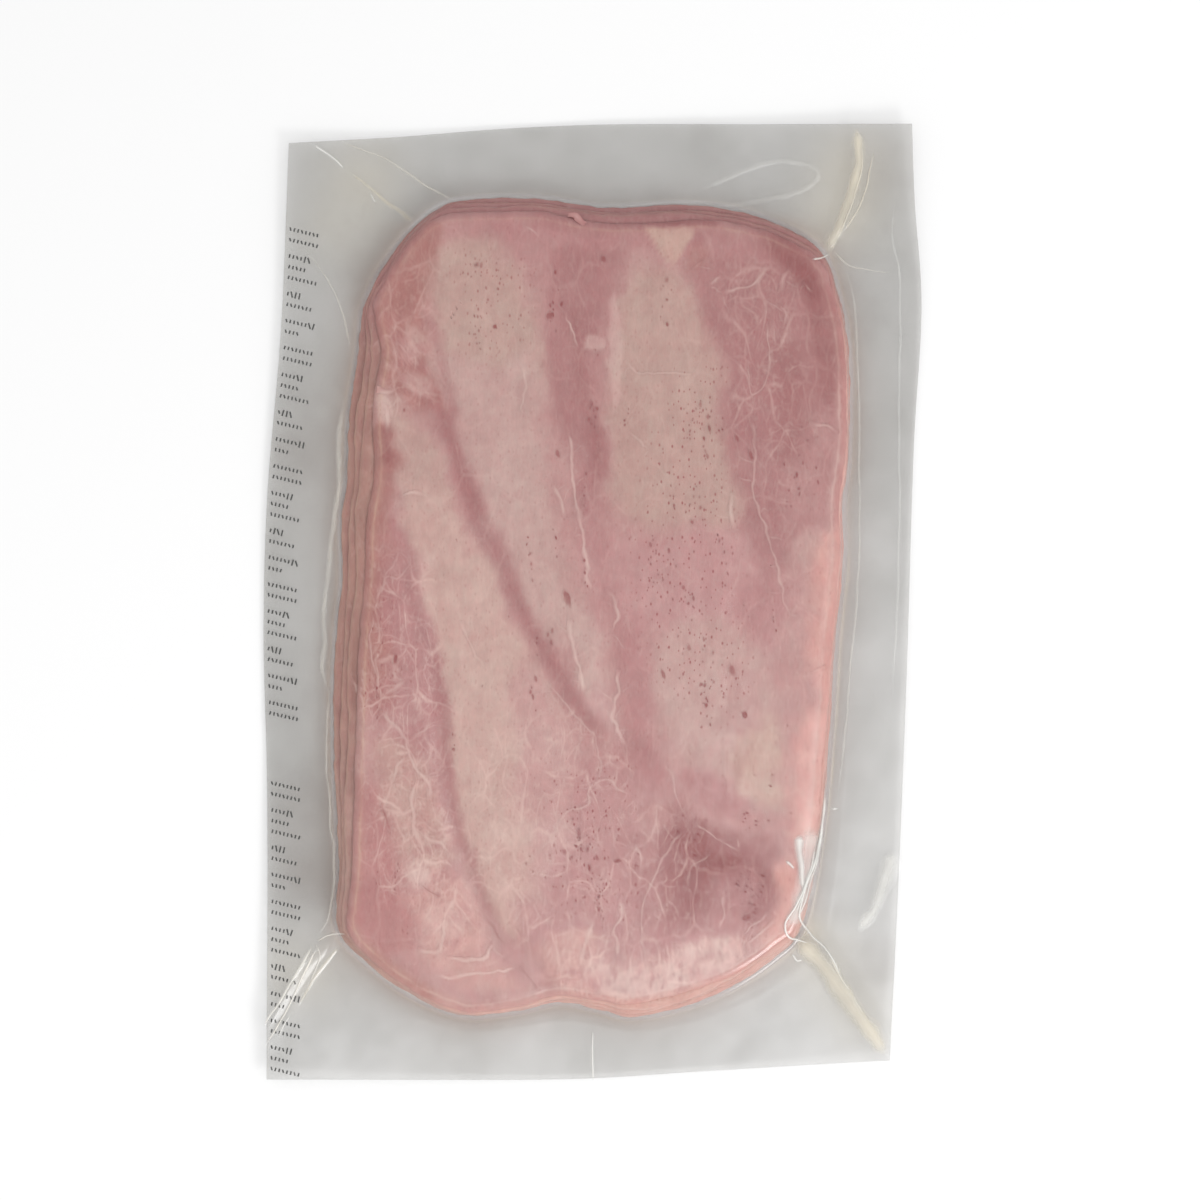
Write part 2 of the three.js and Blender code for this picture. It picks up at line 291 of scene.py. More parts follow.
@dataclass
class Sheet:
    """A mesh of squares with rings of squares grown round it, and where each point belongs."""

    name: str
    weave: Weave
    rings: int
    piece: Piece = field(init=False)
    column: Array = field(init=False)
    row: Array = field(init=False)
    spot: Array = field(init=False)
    level: Array = field(init=False)

    def __post_init__(self) -> None:
        """Adds the flat sheet, then extrudes its border and cuts that band into rings."""
        rest()
        bpy.ops.mesh.primitive_grid_add(
            x_subdivisions=self.weave.across, y_subdivisions=self.weave.along, size=2.0
        )
        self.piece = bpy.context.active_object
        self.piece.name = self.piece.data.name = self.name
        self._number_border()
        self._grow()
        self._read_places()

    def _number_border(self) -> None:
        """Numbers the border's points clockwise from the corner at -X +Y."""
        mesh, w, h = self.piece.data, self.weave.across, self.weave.along
        x, y = points_of(mesh)[:, :2].T
        column = np.rint((x + 1) / 2 * w).astype(int)
        row = np.rint((1 - y) / 2 * h).astype(int)
        spot = np.full(len(x), -1.0)
        spot[row == 0] = column[row == 0]
        spot[column == w] = w + row[column == w]
        spot[row == h] = 2 * w + h - column[row == h]
        left = (column == 0) & (row > 0)
        spot[left] = 2 * (w + h) - row[left]
        store(mesh, "spot", spot)
        store(mesh, "step", np.zeros(len(x)))

    def _grow(self) -> None:
        """Extrudes the border once and cuts the new band across into rings."""
        mesh = self.piece.data
        first_new = len(mesh.vertices)
        with edit_mode():
            bpy.ops.mesh.select_mode(type="EDGE")
            bpy.ops.mesh.select_all(action="DESELECT")
            bpy.ops.mesh.select_non_manifold(
                extend=False, use_wire=False, use_boundary=True,
                use_multi_face=False, use_non_contiguous=False, use_verts=False,
            )
            bpy.ops.mesh.extrude_edges_indiv()
        step = read(mesh, "step")
        step[first_new:] = 1.0
        store(mesh, "step", step)
        self._pick_edges(step, np.not_equal)
        with edit_mode():
            bpy.ops.mesh.subdivide(number_cuts=self.rings - 1)

    def _pick_edges(self, values: Array, wanted: Callable[..., Array]) -> None:
        """Selects the edges whose two ends' values are as wanted."""
        mesh = self.piece.data
        ends = np.empty(2 * len(mesh.edges), int)
        mesh.edges.foreach_get("vertices", ends)
        for kind in (mesh.vertices, mesh.polygons):
            kind.foreach_set("select", np.zeros(len(kind), bool))
        mesh.edges.foreach_set("select", wanted(values[ends[0::2]], values[ends[1::2]]))

    def _read_places(self) -> None:
        """Works out each point's square or ring, and drops the numbering."""
        mesh = self.piece.data
        x, y = points_of(mesh)[:, :2].T
        self.column = np.rint((x + 1) / 2 * self.weave.across).astype(int)
        self.row = np.rint((1 - y) / 2 * self.weave.along).astype(int)
        self.spot = np.rint(read(mesh, "spot")).astype(int)
        self.level = np.rint(read(mesh, "step") * self.rings).astype(int)
        for name in ("spot", "step"):
            mesh.attributes.remove(mesh.attributes[name])

    def spread(self, middle: Array, rings: Array) -> Array:
        """Where every point goes: inside the inner ring, or on its own one of the rings grown round it."""
        places = self.weave.fill(middle, self.column, self.row)
        grown = self.level > 0
        places[grown] = rings[self.level[grown] - 1, self.spot[grown]]
        return places

    def close(self) -> None:
        """Fills the hole inside the last ring with one flat face."""
        bpy.context.view_layer.objects.active = self.piece
        self._pick_edges(self.level == self.rings, np.logical_and)
        with edit_mode():
            bpy.ops.mesh.edge_face_add()


@contextmanager
def edit_mode() -> Iterator[None]:
    """Edits the active piece's mesh."""
    bpy.ops.object.mode_set(mode="EDIT")
    yield
    bpy.ops.object.mode_set(mode="OBJECT")


def rest() -> None:
    """Leaves nothing selected."""
    bpy.ops.object.select_all(action="DESELECT")


def points_of(mesh: Mesh) -> Array:
    """A mesh's points, one row each."""
    places = np.empty(3 * len(mesh.vertices))
    mesh.vertices.foreach_get("co", places)
    return places.reshape(-1, 3)


def store(mesh: Mesh, name: str, values: Array) -> None:
    """Writes one number a point, or one colour, as a named attribute.

    Args:
        mesh: the mesh to write on.
        name: the attribute's name.
        values: one number or one row of three for each point.
    """
    colour = values.ndim == 2
    layer = mesh.attributes.get(name)
    if layer is None:
        layer = mesh.attributes.new(name, "FLOAT_COLOR" if colour else "FLOAT", "POINT")
    if colour:
        full = np.hstack([values, np.ones((len(values), 1))])
        layer.data.foreach_set("color", full.astype(np.float32).ravel())
    else:
        layer.data.foreach_set("value", values.astype(np.float32))


def read(mesh: Mesh, name: str) -> Array:
    """One number a point, read from a named attribute."""
    values = np.empty(len(mesh.vertices), np.float32)
    mesh.attributes[name].data.foreach_get("value", values)
    return values.astype(float)


def set_points(piece: Piece, places: Array, shift: Array, turn: bool = True) -> None:
    """Moves a piece's points to places in millimetres and smooths its faces.

    Args:
        piece: the piece, at the origin.
        places: where its points go, millimetres about the pack's middle.
        shift: what the frame adds to those places, millimetres.
        turn: whether to turn its faces outwards, for a piece that is all one sheet or shell.
    """
    mesh = piece.data
    mesh.vertices.foreach_set("co", ((places + shift) * MM).ravel())
    mesh.update()
    rest()
    piece.select_set(True)
    bpy.context.view_layer.objects.active = piece
    if turn:
        with edit_mode():
            bpy.ops.mesh.select_mode(type="FACE")
            bpy.ops.mesh.select_all(action="SELECT")
            bpy.ops.mesh.normals_make_consistent(inside=False)
    bpy.ops.object.shade_smooth()


def face_up(piece: Piece, up: bool) -> None:
    """Flips an open sheet when its faces, on the whole, look the wrong way."""
    mesh = piece.data
    normal = np.empty(3 * len(mesh.polygons))
    mesh.polygons.foreach_get("normal", normal)
    if (normal[2::3].sum() > 0) != up:
        with edit_mode():
            bpy.ops.mesh.select_all(action="SELECT")
            bpy.ops.mesh.flip_normals()


def join_parts(parts: Sequence[Piece], name: str) -> Piece:
    """Joins parts into one piece with a name."""
    rest()
    for part in parts:
        part.select_set(True)
    piece = parts[0]
    bpy.context.view_layer.objects.active = piece
    bpy.ops.object.join()
    piece.name = piece.data.name = name
    return piece


def copy_turned(model: Piece, spot: tuple[float, float, float], u: Array, v: Array, turn: float) -> Piece:
    """A copy of a flat model, millimetres.

    Args:
        model: what to copy.
        spot: where its middle goes.
        u: its points' places across.
        v: its points' places along.
        turn: how far it leans to the left, radians.

    Returns:
        The copy.
    """
    piece = model.copy()
    piece.data = model.data.copy()
    bpy.context.collection.objects.link(piece)
    cos, sin = math.cos(turn), math.sin(turn)
    x, y, lift = spot
    places = np.column_stack([x + u * cos - v * sin, y + u * sin + v * cos, np.full(len(u), lift)])
    piece.data.vertices.foreach_set("co", places.ravel())
    return piece


def finish_piece(piece: Piece, material: Material) -> None:
    """Gives a piece its material and its body, and reports it."""
    piece.data.materials.append(material)
    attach(piece, BODY)
    LOG.info("%s: %d points", piece.name, len(piece.data.vertices))


def sideways(chain: Array) -> Array:
    """The unit directions across a chain, to the left of its run."""
    run = np.gradient(chain[:, :2], axis=0)
    run /= np.linalg.norm(run, axis=1)[:, None]
    return np.stack([-run[:, 1], run[:, 0]], axis=1)


def ribbon(chain: Array, columns: int) -> tuple[Piece, Array, Array]:
    """Adds a grid to be laid along a chain.

    Args:
        chain: the points that its rows follow.
        columns: how many squares it is wide.

    Returns:
        The grid, each point's place across it from -1 to 1, and each point's row.
    """
    rest()
    bpy.ops.mesh.primitive_grid_add(x_subdivisions=columns, y_subdivisions=len(chain) - 1, size=2.0)
    piece = bpy.context.active_object
    side, length = points_of(piece.data)[:, :2].T
    return piece, side, np.rint((length + 1) / 2 * (len(chain) - 1)).astype(int)


# ---- The pack's shape ------------------------------------------------------------------


@dataclass(frozen=True)
class Fold:
    """A ridge in the film: its line, how tall and wide it is, and how milky, which on the creases is partly a
    painted highlight.
    """

    path: Line
    height: float
    width: float
    haze_and_light: float = 0.0
    cream: float = 0.0
    end: float = 0.35  # share of its height that it keeps at its far end


@dataclass(frozen=True)
class Seam:
    """A dip in the cut face where two muscles meet."""

    path: Line
    depth: float
    width: float


@dataclass
class PackShape:
    """Sizes that the ham and the film share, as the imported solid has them."""

    pouch_width: float = 199.0
    pouch_length: float = 299.0
    side_lean: float = 1.35  # degrees that both sides lean clockwise
    end_rise: float = 1.75  # degrees that both ends climb towards +X
    slices: int = 5
    slice_thickness: float = 1.85
    film_gap: float = 0.25
    tuck_height: float = 2.7
    tuck_gap: float = 1.3
    margin_height: float = 1.3
    corner_lift: float = 2.6
    settle: float = 0.22
    block_width: float = 0.72
    block_length: float = 0.82
    ripple: float = 0.3
    misfit: float = 0.6  # how far a slice strays from its neighbours
    insets: tuple[float, ...] = (8.0, 1.4, 5.0, 4.6)  # of the uppermost slice: left, right, top, bottom
    corner_insets: tuple[float, ...] = (2.4, 3.6, 1.4)  # high left, and low left on its side and its end
    inset_shares: tuple[float, ...] = (0.16, 0.0, 0.28, 0.58, 1.0)
    ham_sides: tuple[Line, ...] = (
        ((-60, 115), (-52, 123), (-45, 127.3), (-18, 128.9), (5, 125.8), (31, 126.8), (46, 125), (61, 120.3)),
        ((74, 112), (79.5, 98), (82.7, 82), (82.8, 46), (81, 31), (81.2, 15), (78.6, -12), (76.8, -42),
         (73.4, -77)),
        ((66.5, -106.5), (59, -114), (45, -123.3), (30, -129.4), (13, -132.6), (2, -130), (-10, -128),
         (-22, -130.6), (-40, -132.1), (-55, -126.6), (-69, -117)),
        ((-80, -105), (-80, -85), (-81.6, -45), (-81.4, -18), (-78.9, 8), (-79.2, 24), (-77.2, 42),
         (-76.9, 57), (-74, 78), (-71.4, 96)),
    )
    pouch_bows: tuple[Line, ...] = (
        ((0.18, 1.1), (0.34, 2.7), (0.5, 3.1), (0.75, 1.6)),
        ((0.08, 1.5), (0.19, 4.6), (0.34, 3.3), (0.6, 2.6), (0.85, 1.3)),
        ((0.3, 1.9), (0.5, 3.1), (0.75, 1.8)),
        ((0.3, 2.1), (0.48, 4.6), (0.62, 4.4), (0.8, 1.2)),
    )
    seams: tuple[Seam, ...] = (
        Seam(((-55, 62), (-38, 28), (-14, -20), (12, -46)), 0.4, 5.0),
        Seam(((-50, 10), (-46, -50), (-34, -95), (-15, -121)), 0.35, 4.0),
        Seam(((3, 86), (4, 10), (10, -40), (34, -74), (60, -86)), 0.3, 5.0),
    )

    @property
    def stack_height(self) -> float:
        """Height of all the slices."""
        return self.slices * self.slice_thickness

    def widest(self, weave: Weave) -> Array:
        """The widest slice's outline, as a ring."""
        points = [point for side in self.ham_sides for point in side]
        chain = smooth_line(points, closed=True, step=0.5)
        corners, sides, first = [], [], 0
        for side in self.ham_sides:
            corners.append(int(np.argmin(np.linalg.norm(chain - np.array(side[0]), axis=1))))
        for here, after in zip(corners, corners[1:] + [len(chain)]):
            sides.append(np.vstack([chain[here:after], chain[after % len(chain)]]))
        return weave.ring(sides)

    def pouch_corners(self) -> list[Array]:
        """The pouch's four corners, clockwise from -X +Y."""
        lean, rise = math.radians(self.side_lean), math.radians(self.end_rise)
        up = np.array([math.sin(lean), math.cos(lean)]) * self.pouch_length / 2
        right = np.array([math.cos(rise), math.sin(rise)]) * self.pouch_width / 2
        return [up - right, up + right, right - up, -right - up]

    def pouch(self, weave: Weave) -> Array:
        """The pouch's outline, as a ring: a leaning rectangle whose sides bow outwards."""
        corners, sides = self.pouch_corners(), []
        for k, bows in enumerate(self.pouch_bows):
            start, end = corners[k], corners[(k + 1) % 4]
            run = (end - start) / np.linalg.norm(end - start)
            out = np.array([-run[1], run[0]])
            bowed = [mix(start, end, share) + bow * out for share, bow in bows]
            sides.append(smooth_line([start, *bowed, end], step=1.0))
        return weave.ring(sides)

    def slice_ring(self, widest: Array, out: Array, number: int) -> Array:
        """One slice's outline: the widest one drawn in at each side, and a little uneven.

        Args:
            widest: the widest slice's ring.
            out: the directions that point out of it.
            number: its place, counted from the table.

        Returns:
            The slice's ring.
        """
        left, right, top, bottom = self.insets
        high_left, low_left, low_end = self.corner_insets
        x, y = widest.T
        lower = mix(low_end, bottom, ease((x + 30.0) / 50.0))
        upper = mix(high_left, top, ease((x + 60.0) / 30.0))
        leftward = mix(left, high_left, ease((y - 78.0) / 22.0))
        leftward = mix(leftward, low_left, ease((-y - 35.0) / 55.0))
        side = np.where(out[:, 0] < 0, leftward, right)
        end = np.where(out[:, 1] > 0, upper, lower)
        inset = out[:, 0] ** 2 * side + out[:, 1] ** 2 * end
        share = self.inset_shares[number]
        wave = self.ripple * np.sin(widest.sum(1) / (6 + number) + 2.1 * number)
        wave += self.misfit * noise(x, y, 21.0, 15 + number)
        return widest + out * (wave * (share > 0) * np.minimum(1.0, inset / 3.0) - inset * share)[:, None]

    def middle(self, ring: Array) -> Array:
        """The ring round the block of squares inside a slice's outline."""
        return ring * np.array([self.block_width, self.block_length])

    def face(self, places: Array) -> Array:
        """Height of the uppermost cut face at each place: nearly flat, dipping along the seams."""
        x, y = places[:, 0], places[:, 1]
        height = self.stack_height - 0.15 + 0.15 * np.sin(x / 21 + 0.8) * np.cos(y / 34)
        for seam in self.seams:
            distance, _ = nearest(places, smooth_line(seam.path, step=3.0), 3 * seam.width)
            height -= seam.depth * np.exp(-((distance / seam.width) ** 2))
        height += 0.035 * noise(x, y, 7.0, 3) + 0.02 * noise(x, y / 3, 2.2, 4)
        return height

    def loose(self, places: Array) -> Array:
        """Height of the margin without its folds: slow waves, and corners that curl up."""
        x, y = places[:, 0], places[:, 1]
        lengthwise = 0.45 * np.sin(y / 31 + x / 60 + 0.6)
        crosswise = 0.3 * np.sin(x / 24 - y / 57 + 1.9)
        corner = np.abs(2 * x / self.pouch_width) ** 3 * np.abs(2 * y / self.pouch_length) ** 3
        return self.margin_height + lengthwise + crosswise + self.corner_lift * corner


# ---- Finishes --------------------------------------------------------------------------


class Tone(Enum):
    """The ham's and the film's colours, as a display shows them."""

    MAUVE = (193, 147, 143)
    TAN = (194, 159, 149)
    PALE = (199, 163, 156)
    CREAM = (206, 171, 161)
    SHELL = (204, 170, 156)
    DUSK = (185, 131, 130)
    PINK = (196, 146, 145)
    ROSE = (173, 118, 117)
    DEEP = (163, 104, 103)
    WINE = (150, 83, 83)
    BRICK = (175, 118, 111)
    BLUSH = (187, 130, 127)
    SALMON = (222, 166, 156)
    BRIGHT_SALMON = (236, 190, 181)
    PETAL = (207, 160, 152)
    FAT = (226, 196, 187)
    RUST = (166, 103, 86)
    UMBER = (112, 68, 54)
    STRAW = (212, 176, 154)


class Graph:
    """A node tree with short calls for adding and joining nodes."""

    def __init__(self, tree: Tree) -> None:
        """Keeps the tree that the nodes go in."""
        self.tree = tree

    def add(self, kind: str, inputs: dict | None = None, **settings: object) -> Node:
        """Adds a node.

        Args:
            kind: the node's type, without its ShaderNode part.
            inputs: a value or a socket for each named or numbered input.
            settings: the node's own properties.

        Returns:
            The node.
        """
        full = kind if kind.startswith("NodeGroup") else "ShaderNode" + kind
        node = self.tree.nodes.new(full)
        for name, value in settings.items():
            setattr(node, name, value)
        for name, value in (inputs or {}).items():
            self.feed(node.inputs[name], value)
        return node

    def feed(self, socket: Socket, value: object) -> None:
        """Sets an input, or joins another node's output to it."""
        if isinstance(value, Socket):
            self.tree.links.new(value, socket)
        else:
            socket.default_value = value

    def sum(self, operation: str, *values: object) -> Socket:
        """The result of one operation on numbers or sockets."""
        node = self.add("Math", dict(enumerate(values)), operation=operation)
        return node.outputs[0]

    def span(self, value: object, low: float, high: float, to: tuple[float, float] = (0, 1)) -> object:
        """Stretches the range low..high over `to`, without leaving it."""
        inputs = {"Value": value, "From Min": low, "From Max": high, "To Min": to[0], "To Max": to[1]}
        return self.add("MapRange", inputs, clamp=True).outputs[0]

    def blend(self, share: object, a: object, b: object, how: str = "MIX") -> Socket:
        """A colour between a and b, by the share of b."""
        node = self.add("Mix", data_type="RGBA", blend_type=how)
        self.feed(node.inputs[0], share)
        self.feed(node.inputs[6], a)
        self.feed(node.inputs[7], b)
        return node.outputs[2]

    def attribute(self, name: str) -> Node:
        """A node that reads one of the piece's own attributes."""
        return self.add("Attribute", attribute_name=name, attribute_type="GEOMETRY")

    def millimetres(self, stretch: tuple[float, float, float] = (1, 1, 1)) -> Socket:
        """Object coordinates in millimetres, stretched along each axis."""
        spot = self.add("TexCoord").outputs["Object"]
        scale = [1.0 / (MM * s) for s in stretch]
        return self.add("Mapping", {"Vector": spot, "Scale": scale}).outputs[0]


def new_material(name: str) -> tuple[Material, Graph, Node]:
    """Makes an empty material: the material, its node tree and its output node."""
    material = bpy.data.materials.new(name)
    material.use_nodes = True
    material.node_tree.nodes.clear()
    graph = Graph(material.node_tree)
    return material, graph, graph.add("OutputMaterial")


def new_group(name: str, inputs: dict[str, float | None], outputs: Sequence[str]) -> tuple:
    """Starts a shader node group.

    Args:
        name: its name.
        inputs: each input's usual value, or None for a vector.
        outputs: the names of its outputs, which are all plain numbers.

    Returns:
        The group, its graph, the sockets that it takes from and those that it gives to.
    """
    group = bpy.data.node_groups.new(name, "ShaderNodeTree")
    for key, value in inputs.items():
        kind = "NodeSocketVector" if value is None else "NodeSocketFloat"
        socket = group.interface.new_socket(key, in_out="INPUT", socket_type=kind)
        if value is not None:
            socket.default_value = value
    for key in outputs:
        group.interface.new_socket(key, in_out="OUTPUT", socket_type="NodeSocketFloat")
    graph = Graph(group)
    return group, graph, graph.add("NodeGroupInput").outputs, graph.add("NodeGroupOutput").inputs


class Effects:
    """The shader node groups that the ham's finish is made with."""

    def __init__(self) -> None:
        """Builds each group once."""
        self.grain = self._grain()
        self.web = self._web()
        self.specks = self._specks()

    @staticmethod
    def _grain() -> Tree:
        """Muscle fibre: fine streaks, broad streaks and a slow mottle, each 0 to 1."""
        inputs = {"Place": None, "Fibre": 0.7, "Mottle": 5.0}
        group, g, source, sink = new_group("muscle_grain", inputs, ("Fine", "Broad", "Mottle", "Clumps"))
        place, fibre = source["Place"], source["Fibre"]
        streaks = (("Fine", (1.0, 0.25, 0.3), g.sum("DIVIDE", 1.0, fibre), 2.0),
                   ("Broad", (1.0, 0.18, 0.3), g.sum("DIVIDE", 0.28, fibre), 2.0),
                   ("Mottle", (1.0, 0.8, 0.3), g.sum("DIVIDE", 1.0, source["Mottle"]), 3.0),
                   ("Clumps", (1.0, 0.55, 0.3), g.sum("DIVIDE", 3.0, source["Mottle"]), 2.0))
        for key, stretch, scale, detail in streaks:
            moved = g.add("Mapping", {"Vector": place, "Scale": stretch}).outputs[0]
            cloud = g.add("TexNoise", {"Vector": moved, "Scale": scale, "Detail": detail, "Roughness": 0.62})
            g.feed(sink[key], g.span(cloud.outputs[0], 0.32, 0.68))
        return group

    @staticmethod
    def _web() -> Tree:
        """Thin branching lines round uneven cells of three sizes, fading out here and there."""
        inputs = {"Place": None, "Cell": 11.0, "Line": 0.036, "Broken": 0.3}
        group, g, source, sink = new_group("fine_web", inputs, ("Web",))
        place, broken = source["Place"], source["Broken"]
        pushed = place
        for scale, reach in ((0.13, 6.0), (0.5, 0.8)):
            wander = g.add("TexNoise", {"Vector": place, "Scale": scale, "Detail": 0.0}).outputs["Color"]
            push = g.add("VectorMath", {0: wander, 1: (0.5, 0.5, 0.5)}, operation="SUBTRACT").outputs[0]
            push = g.add("VectorMath", {0: push, 1: (reach, reach, 0.0)}, operation="MULTIPLY").outputs[0]
            pushed = g.add("VectorMath", {0: pushed, 1: push}, operation="ADD").outputs[0]
        gaps = g.add("TexNoise", {"Vector": place, "Scale": 0.17, "Detail": 1.0}).outputs[0]
        kept = g.add("MapRange", {"Value": gaps, "From Min": broken, "From Max": g.sum("ADD", broken, 0.3)})
        whole = None
        for finer, wider, weight in ((1.0, 1.2, 1.0), (2.1, 1.8, 0.6), (4.4, 2.8, 0.3)):
            scale = g.sum("DIVIDE", finer, source["Cell"])
            cells = g.add("TexVoronoi", {"Vector": pushed, "Scale": scale}, feature="DISTANCE_TO_EDGE",
                          voronoi_dimensions="2D")
            reach = g.sum("MULTIPLY", source["Line"], g.sum("ADD", 0.4, kept.outputs[0]))
            reach = g.sum("MULTIPLY", reach, wider)
            line = g.sum("SUBTRACT", 1.0, g.sum("DIVIDE", cells.outputs["Distance"], reach))
            line = g.sum("MULTIPLY", g.span(line, 0.0, 0.8), weight)
            whole = line if whole is None else g.sum("MAXIMUM", whole, line)
        g.feed(sink["Web"], g.sum("MULTIPLY", whole, kept.outputs[0]))
        return group

    @staticmethod
    def _specks() -> Tree:
        """Small scattered dots, taller than they are wide."""
        inputs = {"Place": None, "Spacing": 3.0, "Size": 0.1, "Kept": 0.4}
        group, g, source, sink = new_group("small_specks", inputs, ("Specks",))
        place = g.add("Mapping", {"Vector": source["Place"], "Scale": (1.0, 0.6, 1.0)}).outputs[0]
        scale = g.sum("DIVIDE", 1.0, source["Spacing"])
        dots = g.add("TexVoronoi", {"Vector": place, "Scale": scale}, feature="F1", voronoi_dimensions="2D")
        near = g.sum("SUBTRACT", 1.0, g.sum("DIVIDE", dots.outputs["Distance"], source["Size"]))
        near = g.span(near, 0.0, 0.6)
        pick = g.add("SeparateColor", {0: dots.outputs["Color"]}).outputs[0]
        chosen = g.sum("LESS_THAN", pick, source["Kept"])
        g.feed(sink["Specks"], g.sum("MULTIPLY", near, chosen))
        return group


@dataclass(frozen=True)
class HamFinish:
    """Moist cooked ham: tinted muscle with fibre, a pale web, small pores and a soft sheen."""

    name: str = "cooked_ham"
    roughness: float = 0.42
    depth: float = 0.9  # how dark the tones are made, for the room's light
    web: Colour = (226, 194, 184)
    web_strength: float = 0.5
    pore: Colour = (142, 62, 62)
    pinker: tuple[float, float, float] = (0.985, 0.915, 0.925)
    browner: tuple[float, float, float] = (0.965, 0.955, 0.95)

    def build(self, effects: Effects) -> Material:
        """Makes the material.

        Args:
            effects: the shared node groups.

        Returns:
            The material, which reads the attributes tint, veined and porous.
        """
        material, g, output = new_material(self.name)
        place = g.millimetres()
        grain = g.add("Group", node_tree=effects.grain)
        g.feed(grain.inputs["Place"], place)
        colour = self._muscle(g, grain)
        pale = g.sum("MINIMUM", self._pale(g, grain, effects), 0.8)
        colour = g.blend(pale, colour, (*linear(self.web), 1))
        pores = self._pores(g, place, effects)
        colour = g.blend(g.sum("MINIMUM", pores, 0.85), colour, (*linear(self.pore), 1))
        height = g.sum("ADD", g.sum("MULTIPLY", grain.outputs["Fine"], 0.25), grain.outputs["Broad"])
        bump = g.add("Bump", {"Height": height, "Strength": 0.3, "Distance": 0.1 * MM})
        shader = g.add("BsdfPrincipled", {
            "Base Color": colour, "Roughness": self.roughness, "Normal": bump.outputs[0], "IOR": 1.38,
        })
        g.feed(output.inputs["Surface"], shader.outputs[0])
        return material

    def _muscle(self, g: Graph, grain: Node) -> Socket:
        """The tint, streaked by fibre and mottled in shade and in hue."""
        out = grain.outputs
        shade = g.sum("MULTIPLY", g.span(out["Fine"], 0, 1, (0.98, 1.02)), self.depth)
        shade = g.sum("MULTIPLY", shade, g.span(out["Broad"], 0, 1, (0.982, 1.018)))
        shade = g.sum("MULTIPLY", shade, g.span(out["Mottle"], 0, 1, (0.943, 1.057)))
        grey = g.add("CombineColor", {0: shade, 1: shade, 2: shade}).outputs[0]
        colour = g.blend(1.0, g.attribute("tint").outputs["Color"], grey, "MULTIPLY")
        hue = g.blend(out["Clumps"], (*self.pinker, 1), (*self.browner, 1))
        return g.blend(1.0, colour, hue, "MULTIPLY")

    def _pale(self, g: Graph, grain: Node, effects: Effects) -> Socket:
        """How much pale fat shows: webs of three sizes, fine streaks and marbled patches."""
        web = g.add("Group", node_tree=effects.web)
        g.feed(web.inputs["Place"], g.millimetres((1.0, 1.6, 1.0)))
        streak = g.span(grain.outputs["Fine"], 0.62, 1.0, (0.0, 0.05))
        marbled = g.span(grain.outputs["Clumps"], 0.6, 1.0, (0.0, 0.2))
        veined = g.attribute("veined").outputs["Fac"]
        lines = g.sum("MULTIPLY_ADD", web.outputs[0], self.web_strength, marbled)
        return g.sum("MULTIPLY_ADD", lines, veined, streak)

    @staticmethod
    def _pores(g: Graph, place: Socket, effects: Effects) -> Socket:
        """How much small pores show, 0 to 1."""
        dots = []
        for spacing, size, kept in ((3.4, 0.12, 0.5), (1.7, 0.15, 0.35)):
            specks = g.add("Group", node_tree=effects.specks)
            for key, value in (("Place", place), ("Spacing", spacing), ("Size", size), ("Kept", kept)):
                g.feed(specks.inputs[key], value)
            dots.append(specks.outputs[0])
        return g.sum("MULTIPLY", g.sum("MAXIMUM", dots[0], dots[1]), g.attribute("porous").outputs["Fac"])


@dataclass(frozen=True)
class FilmFinish:
    """Clear pouch film: see-through, glossy, and milky where it is creased or doubled; its milky layer also
    carries painted light and shade.
    """

    name: str
    gloss: float = 0.17
    relief: float = 0.05  # height of the small wrinkles, millimetres

    def build(self) -> Material:
        """Makes the material, which reads the attributes haze and milk."""
        material, g, output = new_material(self.name)
        place = g.millimetres()
        height = g.add("TexNoise", {"Vector": place, "Scale": 0.12, "Detail": 0.0}).outputs[0]
        bump = g.add("Bump", {"Height": height, "Strength": 1.0, "Distance": self.relief * MM}).outputs[0]
        haze_and_light = g.attribute("haze_and_light").outputs["Fac"]
        milk_and_light = g.attribute("milk_and_light").outputs["Color"]
        facing = g.add("LayerWeight", {"Normal": bump}).outputs["Facing"]
        fresnel = g.sum("MULTIPLY_ADD", g.sum("POWER", facing, 5.0), 0.96, 0.04)
        clear = g.add("BsdfTransparent", {"Color": (1, 1, 1, 1)})
        shine = g.add("BsdfGlossy", {"Color": (1, 1, 1, 1), "Roughness": self.gloss, "Normal": bump})
        film = g.add("MixShader", {0: fresnel, 1: clear.outputs[0], 2: shine.outputs[0]})
        cloud = g.add("BsdfPrincipled", {"Base Color": milk_and_light, "Roughness": 0.3, "Normal": bump})
        whole = g.add("MixShader", {0: haze_and_light, 1: film.outputs[0], 2: cloud.outputs[0]})
        g.feed(output.inputs["Surface"], whole.outputs[0])
        return material


# ---- The ham ---------------------------------------------------------------------------


@dataclass(frozen=True)
class Patch:
    """An area of the cut face with its own tone, soft at its edge."""

    tone: Tone
    outline: Line
    soft: float = 6.0
    strength: float = 1.0

    def cover(self, places: Array) -> Array:
        """How much of the patch shows at each place, 0 to 1."""
        depth = depth_inside(places, smooth_line(self.outline, closed=True, step=5.0), self.soft)
        return self.strength * ease(0.5 + depth / (1.3 * self.soft))


@dataclass(frozen=True)
class Band:
    """A stripe of the cut face with its own tone, along a line."""

    tone: Tone
    path: Line
    width: float
    soft: float = 3.0
    strength: float = 1.0

    def cover(self, places: Array) -> Array:
        """How much of the band shows at each place, 0 to 1."""
        chain = smooth_line(self.path, step=3.0)
        distance, share = nearest(places, chain, self.width + self.soft)
        taper = ease(share * 6) * ease((1 - share) * 6)
        return self.strength * taper * ease(0.5 + (self.width / 2 - distance) / (1.6 * self.soft))
